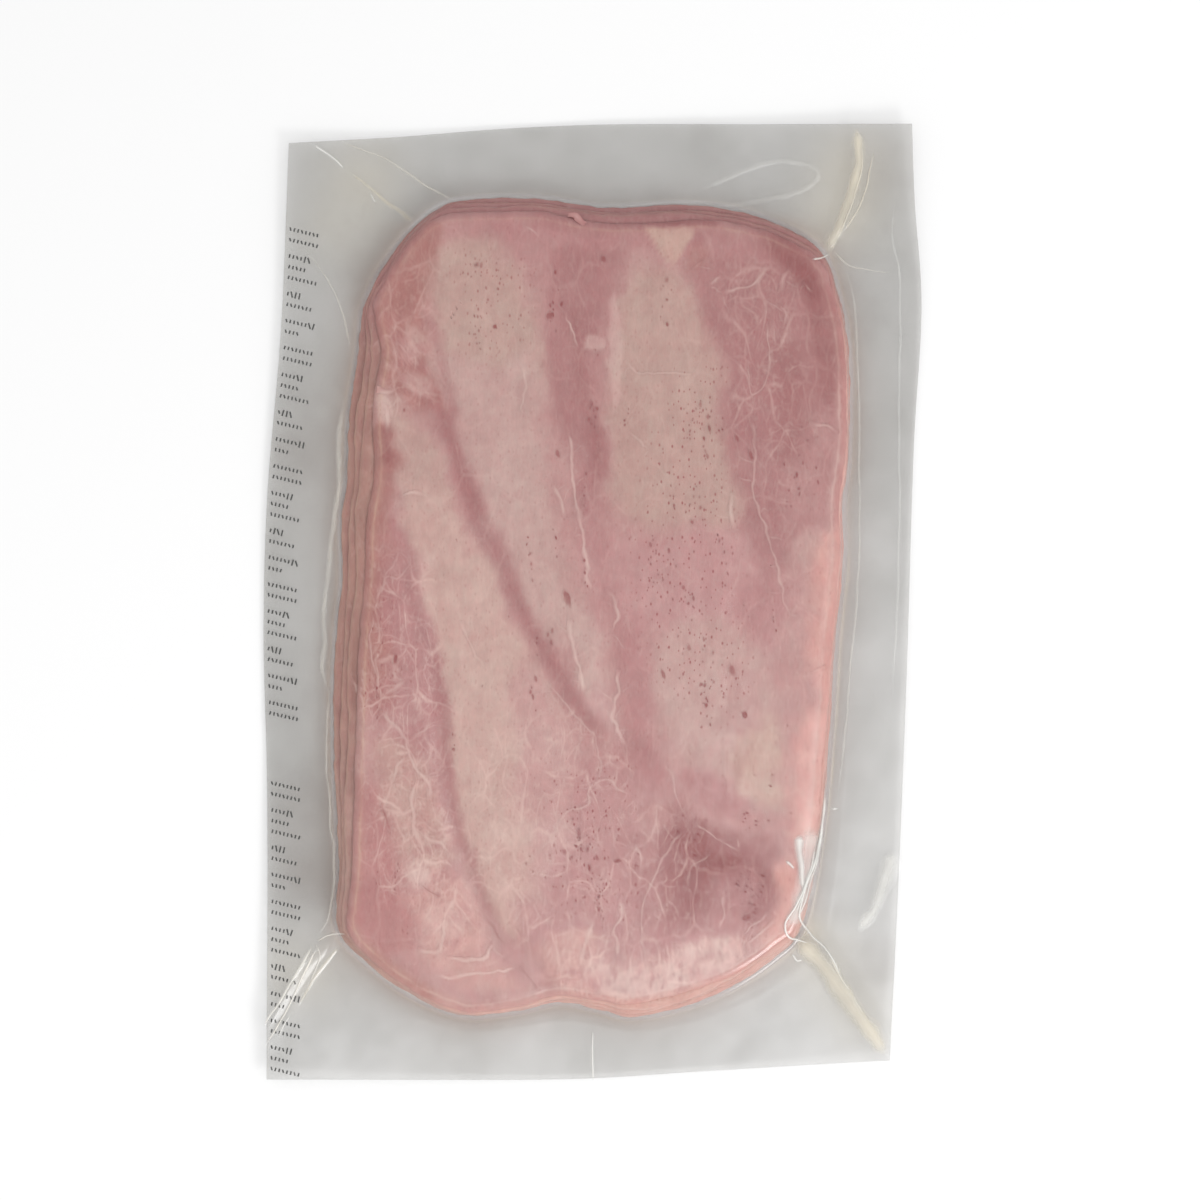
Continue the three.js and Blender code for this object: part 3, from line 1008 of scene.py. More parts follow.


# The cut face's muscles, from the underlying tone up. The salmon tones along the right and lower edges are
# partly the meat's own colour and partly painted light, and the brick band along the lower left edge is
# partly painted shade.
FACE_TONES: tuple[Patch | Band, ...] = (
    Patch(Tone.BRICK, ((-60, 109), (-50, 120), (-47, 106), (-52, 92), (-47, 71), (-43, 57), (-60, 66),
        (-71, 74), (-68, 98)), 5),
    Patch(Tone.DUSK, ((-31, 120), (3, 118), (3, 95), (-4, 83), (-12, 78), (-17, 97), (-24, 107)), 8, 0.6),
    Patch(Tone.TAN, ((-47, 112), (-36, 119), (-27, 112), (-22, 98), (-17, 84), (-14, 70), (-30, 65),
        (-42, 66), (-48, 78), (-51, 97)), 7),
    Patch(Tone.PALE, ((-46, 80), (-30, 76), (-19, 79), (-17, 62), (-17, 50), (-15, 38), (-11, 24), (-7, 11),
        (-6, -3), (-13, -15), (-22, 0), (-30, 19), (-36, 36), (-41, 50), (-44, 64)), 6.5),
    Patch(Tone.PALE, ((-18, 0), (-6, 0), (0, -9), (3, -19), (3, -27), (-4, -23), (-13, -6)), 3.5),
    Patch(Tone.TAN, ((-66, 66), (-58, 64), (-46, 45), (-43, 30), (-56, 28), (-61, 50)), 5, 0.8),
    Patch(Tone.CREAM, ((-56, 34), (-45, 34), (-35, 14), (-28, -2), (-16, -24), (-8, -36), (-5, -58),
        (-12, -80), (-24, -106), (-31, -104), (-38, -84), (-44, -64), (-49, -20), (-53, 2), (-57, 20)), 5),
    Patch(Tone.PINK, ((-22, -20), (-8, -36), (-3, -52), (-8, -84), (-16, -92), (-24, -60)), 7, 0.6),
    Patch(Tone.TAN, ((13, 104), (25, 105), (35, 94), (40, 76), (45, 58), (47, 30), (30, 24), (9, 30),
        (8, 54), (10, 83)), 6.5),
    Patch(Tone.ROSE, ((-15, 110), (-5, 120), (10, 117), (6, 95), (5, 80), (5, 64), (5, 46), (3, 28),
        (-3, 28), (-8, 48), (-13, 66), (-13, 88)), 6, 0.85),
    Patch(Tone.ROSE, ((28, 108), (48, 118), (62, 117), (74, 107), (81, 92), (82, 60), (80, 34), (72, 21),
        (62, 15), (55, 9), (48, 24), (46, 45), (43, 63), (39, 80), (34, 94)), 6.5, 0.85),
    Patch(Tone.MAUVE, ((66, 62), (76, 60), (80, 40), (74, 22), (64, 20), (60, 40)), 6, 0.45),
    Patch(Tone.PINK, ((4, 20), (30, 20), (48, 22), (56, 11), (60, -3), (58, -19), (36, -10), (17, -12),
        (5, -23), (2, 3)), 9, 0.6),
    Patch(Tone.PALE, ((21, -13), (31, -5), (45, -8), (55, -17), (62, -30), (65, -50), (61, -66), (53, -66),
        (44, -57), (33, -52), (24, -42), (19, -28)), 8, 0.8),
    Patch(Tone.SHELL, ((54, -40), (62, -38), (64, -52), (60, -64), (50, -58), (48, -48)), 6, 0.7),
    Patch(Tone.DUSK, ((46, 4), (64, 6), (68, -8), (66, -32), (58, -22), (48, -12)), 7, 0.5),
    Patch(Tone.DUSK, ((43, -24), (53, -24), (55, -40), (46, -42)), 4, 0.3),
    Patch(Tone.MAUVE, ((59, -5), (69, -3), (71, -26), (69, -48), (65, -60), (64, -48), (62, -30),
        (60, -19)), 5),
    # This salmon patch and the bright salmon one after it, along the right edge, are partly the meat's own
    # colour and partly painted light where the light falls on that edge.
    Patch(Tone.SALMON, ((74, 14), (80, 20), (80, -6), (78, -26), (76, -48), (74, -65), (71, -80), (64, -80),
        (65, -60), (69, -43), (72, -20)), 8, 0.85),
    Patch(Tone.BRIGHT_SALMON, ((74, -30), (80, -26), (78, -48), (76, -65), (72, -82), (66, -78), (69, -58),
        (72, -46)), 6.5, 0.85),
    Patch(Tone.DUSK, ((-8, -56), (2, -48), (12, -48), (19, -60), (19, -77), (17, -93), (7, -107),
        (-9, -107), (-14, -90), (-6, -74)), 6, 0.6),
    Patch(Tone.DUSK, ((17, -89), (39, -94), (62, -97), (58, -103), (45, -107), (31, -112), (14, -110),
        (7, -101)), 5, 0.7),
    Patch(Tone.ROSE, ((14, -76), (22, -72), (30, -80), (30, -100), (20, -104), (12, -94)), 8, 0.6),
    Patch(Tone.DEEP, ((24, -74), (29, -66), (40, -72), (54, -79), (61, -86), (60, -96), (54, -103),
        (42, -101), (34, -104), (27, -100), (24, -88)), 9, 0.95),
    Patch(Tone.WINE, ((27, -78), (30, -70), (41, -75), (55, -82), (51, -88), (41, -92), (33, -97),
        (27, -90)), 8, 0.9),
    Patch(Tone.DUSK, ((42, -89), (53, -87), (54, -97), (45, -101), (40, -97)), 3, 0.5),
    Patch(Tone.DUSK, ((32, -54), (40, -54), (50, -60), (52, -68), (42, -68), (32, -62)), 6, 0.9),
    Patch(Tone.WINE, ((54, -92), (58, -92), (58, -98), (54, -101), (50, -102)), 3, 0.35),
    # Salmon at the lower right corner: partly the meat's own colour, partly painted light.
    Patch(Tone.SALMON, ((59, -85), (67, -84), (68, -96), (64, -107), (57, -110), (57, -103), (61, -95)), 4,
        0.8),
    Patch(Tone.PALE, ((3, 4), (8, 2), (9, -12), (7, -25), (3, -22), (3, -8)), 3, 0.6),
    Patch(Tone.BRICK, ((-70, 54), (-64, 58), (-59, 44), (-62, 28), (-60, 8), (-64, -14), (-66, -36),
        (-73, -20), (-73, 30)), 4.5),
    Patch(Tone.DUSK, ((-63, 26), (-58, 26), (-53, 2), (-49, -20), (-47, -42), (-56, -48), (-66, -38),
        (-66, -10)), 5, 0.7),
    Patch(Tone.BLUSH, ((-76, -55), (-68, -59), (-61, -82), (-59, -112), (-75, -107), (-78, -80)), 5),
    Patch(Tone.SHELL, ((-69, -43), (-59, -44), (-50, -60), (-42, -84), (-48, -90), (-58, -86), (-67, -60)),
        5.5, 0.5),
    Patch(Tone.PETAL, ((-60, -93), (-49, -91), (-37, -93), (-32, -112), (-24, -118), (-22, -122),
        (-42, -124), (-55, -116), (-55, -105)), 5, 0.85),
    Patch(Tone.FAT, ((-54, -98), (-45, -97), (-42, -104), (-48, -108), (-54, -106)), 3, 0.3),
    Patch(Tone.FAT, ((-17, -112), (-6, -110), (2, -113), (0, -120), (-12, -121)), 3.5, 0.4),
    Patch(Tone.PETAL, ((-18, -108), (-6, -105), (3, -108), (3, -122), (-10, -123), (-16, -117)), 4, 0.8),
    Patch(Tone.FAT, ((0, -113), (14, -113), (29, -111), (38, -108), (48, -110), (46, -116), (34, -124),
        (10, -126)), 4, 0.65),
    Patch(Tone.FAT, ((34, -112), (46, -110), (45, -115), (36, -119)), 2.5, 0.5),
    Patch(Tone.FAT, ((7.5, 99), (10.5, 88), (11, 70), (9, 60), (7.2, 70), (6.5, 82), (6.5, 92)), 1, 0.3),
    Patch(Tone.FAT, ((-58, 88), (-54, 87), (-53, 80), (-55, 76), (-59, 79)), 2, 0.4),
    Patch(Tone.FAT, ((-59, 72), (-54, 73), (-49, 69), (-51, 65), (-57, 68)), 2, 0.45),
    Patch(Tone.FAT, ((-68, 66), (-64, 67), (-62, 62), (-65, 55)), 1.5, 0.5),
    Patch(Tone.FAT, ((-1, 85), (5, 84), (5, 80), (-1, 80)), 1.4, 0.4),
    Patch(Tone.FAT, ((-58, -81), (-54, -83), (-51, -88), (-53, -92), (-57, -90)), 2, 0.5),
    Patch(Tone.PALE, ((64, 20), (72, 20), (76, 15), (73, 9), (67, 9)), 3, 0.6),
    Band(Tone.DUSK, ((-55, 118), (-30, 119), (0, 116), (30, 116), (64, 110)), 8, 4, 0.8),
    Band(Tone.ROSE, ((-24, 124), (-8, 121), (5, 119), (18, 121), (50, 117)), 6, 3, 0.8),
    Band(Tone.WINE, ((10, 121), (20, 122), (28, 121), (36, 122), (44, 120)), 2.6, 1.4, 0.8),
    Patch(Tone.SHELL, ((17, 119.5), (25, 119), (33, 119.5), (30, 113.5), (26, 107.5), (21, 113),
        (18.5, 116)), 1.2, 0.9),
    Patch(Tone.BRICK, ((32, 115), (38, 113), (36, 107), (30, 106)), 2, 0.5),
    Band(Tone.WINE, ((52, 118), (61, 114), (68, 107), (73, 97), (76, 84), (77, 70)), 8, 3, 0.9),
    Band(Tone.BRICK, ((-70, 96), (-63, 108), (-56, 116), (-46, 123)), 7, 3, 0.8),
    Band(Tone.ROSE, ((-51, 92), (-47, 80), (-44, 66), (-41, 54)), 3.5, 2.5, 0.6),
    Band(Tone.WINE, ((-68, 57), (-66, 53), (-65, 46), (-64, 42)), 5, 3.5, 0.7),
    Band(Tone.DEEP, ((74, 98), (76, 80), (76, 62)), 8, 4.5, 0.9),
    Band(Tone.DEEP, ((62, 86), (65, 71), (65, 58), (63, 42)), 9, 6, 0.7),
    Band(Tone.ROSE, ((43, 62), (46, 44), (51, 26), (56, 10), (57, -6)), 5, 4, 0.45),
    Band(Tone.DUSK, ((13, 0), (14, -13), (15, -28), (17, -45), (23, -58), (29, -64)), 9, 5, 0.9),
    Band(Tone.DEEP, ((-4, 100), (-5, 90), (-4, 80), (-1, 68), (2, 56), (2, 44), (1, 32)), 4, 3.5, 0.7),
    Band(Tone.DUSK, ((0, 35), (2, 20), (5, 4), (9, -12), (13, -28)), 6, 5, 0.7),
    Band(Tone.ROSE, ((-58, 72), (-48.5, 62), (-44.5, 54), (-39, 38), (-36, 29), (-30, 14), (-25, 4),
        (-21, -4), (-18, -12), (-14, -19), (-8, -26), (-2, -34), (4, -42), (11, -49)), 6, 3.5, 0.75),
    Band(Tone.DEEP, ((-50, 64), (-44.5, 54), (-41.5, 44), (-38, 34), (-34, 25)), 3.5, 2.5, 0.6),
    Band(Tone.DEEP, ((-29, 12), (-21, -3), (-18, -12), (-8, -26), (-2, -34), (6, -44)), 3, 3, 0.4),
    Band(Tone.ROSE, ((-61, 27), (-58, 11), (-54, -3), (-51, -17), (-48, -29), (-46, -41), (-46.5, -53),
        (-44.5, -64), (-41, -75), (-36.5, -85), (-33.5, -94), (-29.5, -103), (-24, -110), (-17, -120)), 4.2,
        2.8, 0.75),
    Patch(Tone.DUSK, ((-24, -94), (-16, -92), (-12, -100), (-17, -108), (-23, -104)), 4, 0.5),
    # Salmon along the lower edge: partly the meat's own colour, partly painted light.
    Band(Tone.SALMON, ((3, -125), (20, -128), (41, -122), (57, -112)), 3, 2, 0.7),
    # Darker brick along the lower left edge: partly the meat's own colour, partly painted shade.
    Band(Tone.BRICK, ((-71, -108), (-65, -116), (-56, -123), (-47, -129)), 4, 3, 0.8),
)


@dataclass(frozen=True)
class Cover:
    """How strongly something fine, such as a web or pores, shows inside an outline."""

    outline: Line
    soft: float
    strength: float


WEBBED: tuple[Cover, ...] = (
    Cover(((-70, 20), (-50, 10), (-44, -50), (-38, -100), (-50, -115), (-70, -90), (-74, -30)), 7, 0.85),
    Cover(((-40, -40), (0, -30), (20, -60), (40, -70), (40, -104), (-10, -116), (-40, -90)), 8, 0.6),
    Cover(((42, 112), (70, 108), (70, 60), (62, 20), (45, 60)), 8, 0.5),
    Cover(((-70, 100), (-50, 110), (-48, 60), (-70, 55)), 6, 0.5),
    Cover(((-14, -108), (30, -108), (58, -104), (48, -116), (32, -126), (4, -128), (-12, -122)), 5, 0.8),
)
MARBLED: tuple[Cover, ...] = (
    Cover(((-14, -110), (5, -112), (30, -109), (56, -104), (50, -116), (32, -126), (4, -128), (-12, -122)),
        5, 0.8),
    Cover(((-64, -50), (-50, -48), (-42, -80), (-34, -112), (-52, -118), (-60, -90)), 6, 0.5),
    Cover(((-64, 92), (-50, 94), (-46, 64), (-66, 60)), 5, 0.5),
)
# What the marbled covers are flecked with: a tone, the flecks' size, a seed and a strength.
MARBLING: tuple[tuple[Tone, float, int, float], ...] = (
    (Tone.DUSK, 6.0, 75, 0.8), (Tone.BRIGHT_SALMON, 3.6, 78, 0.4), (Tone.ROSE, 2.6, 81, 0.6),
)
POROUS: tuple[Cover, ...] = (
    Cover(((-42, 112), (-20, 112), (-18, 82), (-42, 80)), 6, 0.6),
    Cover(((28, 75), (42, 75), (44, 20), (55, -30), (40, -45), (16, -20), (14, 25)), 7, 0.8),
    Cover(((-18, -50), (15, -50), (18, -95), (-14, -100)), 8, 0.9),
    Cover(((-75, 5), (-60, 5), (-55, -30), (-72, -32)), 6, 0.5),
)


@dataclass
class FacePaint:
    """The tones of a cut face, and where its web and its pores show."""

    seed: int = 0
    wander: float = 3.0  # how far a tone's edge strays, over long, short and very short ways
    stray: float = 1.5
    fray: float = 1.1
    blotch: tuple[float, ...] = (0.024, 0.06, 0.055)  # how much each colour of the paler blotches gains

    def moved(self, places: Array, share: float = 1.0) -> Array:
        """The places, pushed about by a share of the wander so that no tone keeps a straight edge."""
        x, y = places[:, 0], places[:, 1]
        long_way = [noise(x, y, 15.0, self.seed + k) for k in (30, 31)]
        short_way = [noise(x, y, 5.0, self.seed + k) for k in (50, 51)]
        push = self.wander * np.stack(long_way, axis=1) + self.stray * np.stack(short_way, axis=1)
        push[:, 0] += self.fray * noise(x, y * 0.5, 1.9, self.seed + 52)
        return places[:, :2] + share * push

    def tint(self, places: Array) -> Array:
        """The cut face's colour.

        Args:
            places: points of the plane.

        Returns:
            A colour for each place.
        """
        moved, nudged = self.moved(places), self.moved(places, 0.35)
        colour = np.tile(linear(Tone.MAUVE.value), (len(places), 1))
        for stroke in FACE_TONES:
            cover = stroke.cover(moved if isinstance(stroke, Patch) and stroke.soft > 2.0 else nudged)
            colour = mix(colour, linear(stroke.tone.value), cover[:, None])
        x, y = moved.T
        for size, seed in ((7.5, 71), (3.3, 73)):
            patchy = noise(x, y * 0.7, size, self.seed + seed) + 0.5 * noise(x, y, size / 2, self.seed + seed)
            colour = colour * (1.0 + patchy[:, None] * np.array(self.blotch))
        marbled = self.strength(places, MARBLED, 0.0)
        for tone, size, seed, strength in MARBLING:
            seed += self.seed
            ragged = noise(x * 0.7, y, size, seed) + noise(x, y * 1.4, size / 2, seed + 1)
            ragged += 0.8 * noise(x, y * 1.4, 1.3, seed + 2)
            colour = mix(colour, linear(tone.value), (strength * marbled * ease(0.7 * ragged))[:, None])
        return colour

    def strength(self, places: Array, covers: Sequence[Cover], least: float) -> Array:
        """How strongly something fine shows at each place: as its covers say, and at least a little."""
        moved = self.moved(places)
        strength = np.full(len(places), least)
        for cover in covers:
            depth = depth_inside(moved, np.array(cover.outline, float), cover.soft)
            strength = np.maximum(strength, cover.strength * ease(0.5 + depth / (2 * cover.soft)))
        return strength

    def dress(self, piece: Piece, places: Array, tint: Array, kept: Array) -> None:
        """Writes the attributes that the ham's finish reads; kept is each point's share of web and pores."""
        store(piece.data, "tint", tint)
        store(piece.data, "veined", kept * self.strength(places, WEBBED, 0.2))
        store(piece.data, "porous", kept * self.strength(places, POROUS, 0.2))


@dataclass
class HamStack:
    """The five slices, each drawn in a little further than the one below it."""

    shape: PackShape
    shift: Array
    material: Material
    # How a slice's shown edge is pressed down: how far in from its outline, and how far down.
    shoulder: Line = (
        (3.0, 0.0), (2.4, 0.0), (1.7, 0.1), (1.1, 0.28), (0.6, 0.55), (0.3, 0.8), (0.08, 1.1), (0.0, 1.3),
    )
    foot: Line = ((0.0, 0.25), (0.1, 0.08), (0.35, 0.0))  # and its hidden edge
    soft_under: float = 0.5  # share of the shoulder that the lowest slice's underside has
    lift: float = 0.1  # clearance that the lower film takes under the stack
    face_rings: int = 12
    ledge: float = 5.0  # how far in from its outline a covered slice shows
    pale_edge: float = 1.0  # width of the pale line along a cut edge
    pale_within: float = 2.4  # how far in from the uppermost slice's outline it lies
    pale_share: float = 0.6
    fine: Weave = Weave(200, 310, 0.25)
    plain: Weave = Weave(90, 140, 0.3)

    def build(self) -> None:
        """Makes and dresses every slice."""
        for number in range(self.shape.slices):
            shown = number in (0, self.shape.slices - 1)
            piece = self._slice(number, self.fine if shown else self.plain)
            finish_piece(piece, self.material)

    def _slice(self, number: int, weave: Weave) -> Piece:
        """Makes one slice: a cut face, its rounded edge, and a flat face on its hidden side.

        Args:
            number: its place, counted from the table.
            weave: how finely it is divided.

        Returns:
            The slice.
        """
        shape = self.shape
        widest = shape.widest(weave)
        outline = shape.slice_ring(widest, outward(widest), number)
        out = outward(outline)
        jag = 0.3 * noise(outline[:, 0], outline[:, 1], 3.5, 20 + number)
        jag += 0.12 * noise(outline[:, 0], outline[:, 1], 1.2, 25 + number)
        outline = outline + out * jag[:, None]
        floor = number * shape.slice_thickness
        high, low = floor + shape.slice_thickness, max(floor, self.lift)
        middle = shape.middle(outline)
        inner = outline - out * self.shoulder[0][0]
        levels: list[Array] = []
        heights: list[Array] = []
        face = self._cut_face(number, high, low)
        for share in np.linspace(0, 1, self.face_rings + 1)[1:]:
            ring = mix(middle, inner, share)
            levels.append(ring)
            heights.append(face(ring))
        rim = face(inner)
        turn, far = (-self.soft_under, high) if number == 0 else (1, low)
        for within, drop in self.shoulder[1:]:
            levels.append(outline - out * within)
            heights.append(rim - turn * drop)
        for within, drop in self.foot:
            levels.append(outline - out * within)
            heights.append(np.full(len(outline), far) + np.sign(turn) * drop)
        sheet = Sheet(f"ham_slice_{number + 1}", weave, len(levels))
        rings = np.stack([np.column_stack([ring, height]) for ring, height in zip(levels, heights)])
        places = sheet.spread(np.column_stack([middle, np.zeros(len(middle))]), rings)
        block = sheet.level == 0
        places[block, 2] = face(places[block, :2])
        sheet.close()
        set_points(sheet.piece, places, self.shift)
        edge = np.full(len(places), 50.0)
        edge[~block] = np.linalg.norm(places[~block, :2] - outline[sheet.spot[~block]], axis=1)
        self._paint(sheet.piece, places, edge, number)
        return sheet.piece

    def _cut_face(self, number: int, high: float, low: float) -> Callable[[Array], Array]:
        """The height of a slice's shown face, as a function of places."""
        if number == 0:
            return lambda p: low + 0.06 + 0.05 * noise(p[:, 0], p[:, 1], 9.0, 8)
        if number == self.shape.slices - 1:
            return self.shape.face
        return lambda p: high - 0.04 + 0.03 * noise(p[:, 0], p[:, 1], 6.0, 9 + number)

    def _paint(self, piece: Piece, places: Array, edge: Array, number: int) -> None:
        """Gives a slice its tones, and says where its web and pores show, by the way to its edge."""
        paint = FacePaint(7 * (self.shape.slices - 1 - number))
        if number in (0, self.shape.slices - 1):
            tint = paint.tint(places)
        else:
            tint = np.tile(linear(Tone.BRICK.value), (len(places), 1))
        paint.dress(piece, places, self._paint_edge(tint, places, edge, number), ease(edge / 1.5))

    def _paint_edge(self, tint: Array, places: Array, edge: Array, number: int) -> Array:
        """Tints the cut edges: brown and rose on the left, salmon at the right and bottom. Besides their own
        colours this is painted light and shade: the edges are painted lighter towards the lit lower right and
        darker on the left, with painted shade at the foot of each slice that lies on another.

        Args:
            tint: the colours so far.
            places: the slice's points, millimetres.
            edge: how far each is from the slice's outline.
            number: its place, counted from the table.

        Returns:
            The colours with their edges.
        """
        x, y = places[:, 0], places[:, 1]
        topmost = number == self.shape.slices - 1
        # This grows towards the lower right, where the light falls: there the edges are painted lighter and
        # more salmon, and on the left darker and browner, as painted light and shade over their own colours.
        lit_side = ease((x - 0.55 * y + 35.0) / 95.0)[:, None]
        high, low = ease((y - 60.0) / 50.0)[:, None], ease((-20.0 - y) / 60.0)[:, None]
        dull = mix(linear(Tone.RUST.value), linear(Tone.TAN.value), 0.5 + 0.3 * low)
        dull = mix(dull, linear(Tone.ROSE.value), high)
        body = mix(dull, linear(Tone.SALMON.value), lit_side * (1 - 0.8 * high))
        body = mix(body, linear(Tone.SHELL.value), 0.5 * lit_side * low)
        layers = noise(x, y, 4.0, 90 + number)[:, None]
        # Darker layers, stronger on the shaded left: partly the layers' own colour, partly painted shade.
        body = mix(body, linear(Tone.DEEP.value), 0.3 * ease(0.2 + layers) * (0.4 + 0.6 * (1 - lit_side)))
        line = mix(linear(Tone.STRAW.value), linear(Tone.FAT.value), lit_side)
        if topmost:
            tint = mix(tint, body, (0.45 - 0.1 * lit_side) * ease(1.0 - edge / 4.0)[:, None])
        else:
            near = ease(1.0 - (edge - self.ledge) / 3.0)[:, None]
            tint = mix(tint, body, near)
            # Painted shade with some dark brown juice: umber darkening where the slice above sits, weaker on
            # the lit lower right and at the top.
            foot = (ease((edge - 0.8) / 1.0) * ease(0.4 + 0.9 * noise(x, y, 14.0, 92 + number)))[:, None]
            tint = mix(tint, linear(Tone.UMBER.value), (0.3 - 0.28 * lit_side - 0.2 * high) * foot * near)
        uneven = 0.6 + 0.4 * noise(x, y, 5.0, 95 + number)[:, None]
        pale = ease(1.0 - (abs(edge - self.pale_within) if topmost else edge) / self.pale_edge)[:, None]
        pale = pale * uneven * (1 - 0.5 * high)
        return mix(tint, line, self.pale_share * pale)


# ---- Marks in the cut face -------------------------------------------------------------

# Fat and pale sinew: the (x, y) points along each vein, under the veins' half width.
VEINS: dict[float, tuple[Line, ...]] = {
    0.3: (
        ((-21, 75.5), (-20, 69.5), (-21.5, 61), (-19.5, 59)), ((-22, 120), (-18.5, 118), (-16, 115)),
        ((-57, 13), (-61.5, 7), (-63.5, 8), (-66.5, 3), (-68.5, -0.5)), ((-63.5, 8), (-62, 13), (-60.5, 16)),
        ((36.5, 108.5), (33, 105.5)), ((68, 101.5), (70, 99), (72.5, 98)),
        ((60, 94.5), (62.5, 91), (61, 86.5)), ((56.5, 88), (57, 76.5), (56.5, 71), (52, 66), (50.5, 77)),
        ((51.5, 58.5), (52.5, 49.5), (52, 38.5), (54.5, 28.5), (57, 20.5), (60, 11), (61.5, 2.5),
            (63.5, -4.5)),
        ((11, 76.5), (15, 73), (25.5, 72.5), (32.5, 72)), ((12.5, 54), (17, 50.5), (19.5, 48)),
        ((-40.5, -6), (-37, -15.5), (-33.5, -20.5)), ((-13, -80), (-10.5, -74)),
        ((23, -50), (26, -56.5), (28.5, -63.5), (31, -69)), ((39.5, -79), (35, -82), (32, -86), (31, -90)),
        ((48, -107), (52.5, -103), (57.5, -99)), ((50, -109.5), (55, -105), (60, -101)),
        ((71, -22.5), (75.5, -20.5)),
        ((-69, -4), (-69.5, -10), (-69.5, -17), (-68, -22.5), (-67, -28.5), (-66.5, -31.5)),
        ((-13, -26.5), (-9, -31.5), (-3, -37.5), (1.5, -43), (3, -48), (3.5, -57.5)),
        ((33, -70), (41, -75.5), (48, -79)),
        ((30, -73), (25, -79), (21.5, -86), (18, -94), (16.5, -102), (18, -114)),
        ((-9.5, -71), (-7, -67), (-1, -64.5), (0.5, -59), (6, -56.5), (9.5, -60), (14.5, -62)),
    ),
    0.45: (
        ((-7.5, 91.5), (-4.5, 83), (-4, 80.5)),
        ((-7.5, 54), (-5.5, 48), (-5.5, 40.5), (-4, 33), (-2, 22), (-1, 14), (0, 4)),
        ((-11.5, 37.5), (-9, 31.5), (-7.5, 26.5)), ((-7, 123), (-4.5, 122), (-2, 120)),
        ((-67.5, 67.5), (-64.5, 67), (-61, 67.5)), ((-60.5, 33.5), (-55.5, 34.5), (-51, 33.5)),
        ((-65, 64.5), (-64, 58.5), (-64.5, 54)), ((42.5, 103.5), (37.5, 100.5)),
        ((57, 107), (55, 103.5), (51.5, 100.5), (46, 99.5), (42, 98)), ((64, 107), (61.5, 102.5), (60, 97.5)),
        ((45.5, 34.5), (45.5, 26.5), (45.5, 23)), ((70, 57.5), (74.5, 55.5), (79.5, 54)),
        ((-57, -44.5), (-52.5, -41), (-50, -37.5)), ((-66.5, -30), (-62, -27.5), (-57.5, -24.5)),
        ((-57.5, -49), (-61, -53), (-63, -58.5)), ((-54.5, -56.5), (-56, -64), (-55, -73.5), (-52.5, -78.5)),
        ((-45.5, -101), (-46.5, -106.5), (-49, -111.5), (-55, -110.5)),
        ((-45.5, -114), (-39, -114), (-33, -114), (-31, -110), (-30, -108)),
        ((-49, -118.5), (-43, -119.5), (-34, -118.5), (-27.5, -117.5), (-23.5, -116)),
        ((-15, -114), (-12, -110.5), (-10.5, -109)), ((-6, -5), (-5, -15.5), (-2.5, -21.5), (-2, -29)),
        ((5.5, 4), (8, 0), (9, -6), (7.5, -10)),
        ((9, -21), (9, -28), (8, -34.5), (7.5, -37.5), (9, -41), (12, -46.5)),
        ((10.5, -93.5), (9.5, -102), (8, -104), (9.5, -114)), ((1.5, -101), (0, -106.5), (-3, -116)),
        ((42, -92), (43, -98), (41, -105.5)), ((14, -77), (16.5, -81.5), (17, -86)),
        ((-66.5, -34.5), (-63.5, -37.5), (-59.5, -42), (-57, -48), (-55, -53), (-50.5, -58.5),
            (-50.5, -63.5)),
        ((-53.5, -72), (-51, -75.5), (-46.5, -76.5), (-45.5, -80)),
    ),
}
CRACKS: tuple[Line, ...] = (
    ((-53.5, -89.5), (-51.5, -91.5), (-49.5, -93), (-47, -94.5)),
    ((-66, -64), (-65, -68), (-62.5, -73.5)),
    ((-33, -100), (-31.5, -102.5), (-30, -104.5), (-27.5, -109)),
    ((-22.5, -116), (-20, -119), (-16, -123.5)),
)


@dataclass(frozen=True)
class Cluster:
    """A loose group of pores in upright chains: its middle, its reach, how many chains and their size."""

    x: float
    y: float
    across: float
    along: float
    chains: int
    size: float = 1.0
    lie: float = 0.0  # how far the pores lean over from upright

    def pores(self, draw: np.random.Generator) -> list[tuple[float, ...]]:
        """Draws the group's pores: (x, y, half width, half height, turn) for each."""
        found = []
        for _ in range(self.chains):
            x, y = self.x + draw.normal() * self.across / 1.5, self.y + draw.normal() * self.along / 1.5
            for _ in range(draw.integers(1, 5)):
                half = self.size * (0.17 + 0.36 * draw.random() ** 4)
                found.append((x, y, half, half * draw.uniform(1.0, 2.6), self.lie + draw.uniform(-0.3, 0.3)))
                x, y = x + draw.normal() * 0.9, y - draw.uniform(1.2, 4.5)
        return found


PORE_CLUSTERS: tuple[Cluster, ...] = (
    Cluster(-35, 106, 6, 3, 5), Cluster(-35, 89, 4, 4, 4), Cluster(-12, 97, 6, 6, 4),
    Cluster(35, 60, 4, 14, 9), Cluster(30, 34, 8, 8, 7), Cluster(25, 15, 10, 13, 11),
    Cluster(34, 2, 10, 8, 7, 1.1), Cluster(30, -22, 7, 9, 6, 1.2), Cluster(48, -26, 7, 9, 4, 1.3),
    Cluster(-5, -78, 10, 11, 13, 1.1), Cluster(3, -92, 9, 7, 6), Cluster(66, 42, 9, 14, 6),
    Cluster(0, 54, 4, 19, 5), Cluster(-67, -13, 7, 16, 5, 1.2), Cluster(0, 0, 60, 90, 26),
    Cluster(34, -82, 12, 14, 22, 0.7, 1.1), Cluster(50, -88, 8, 10, 18, 0.7, 1.2),
    Cluster(56, -62, 9, 8, 8, 0.7, 1.3), Cluster(-64, -80, 8, 20, 8, 0.7),
)
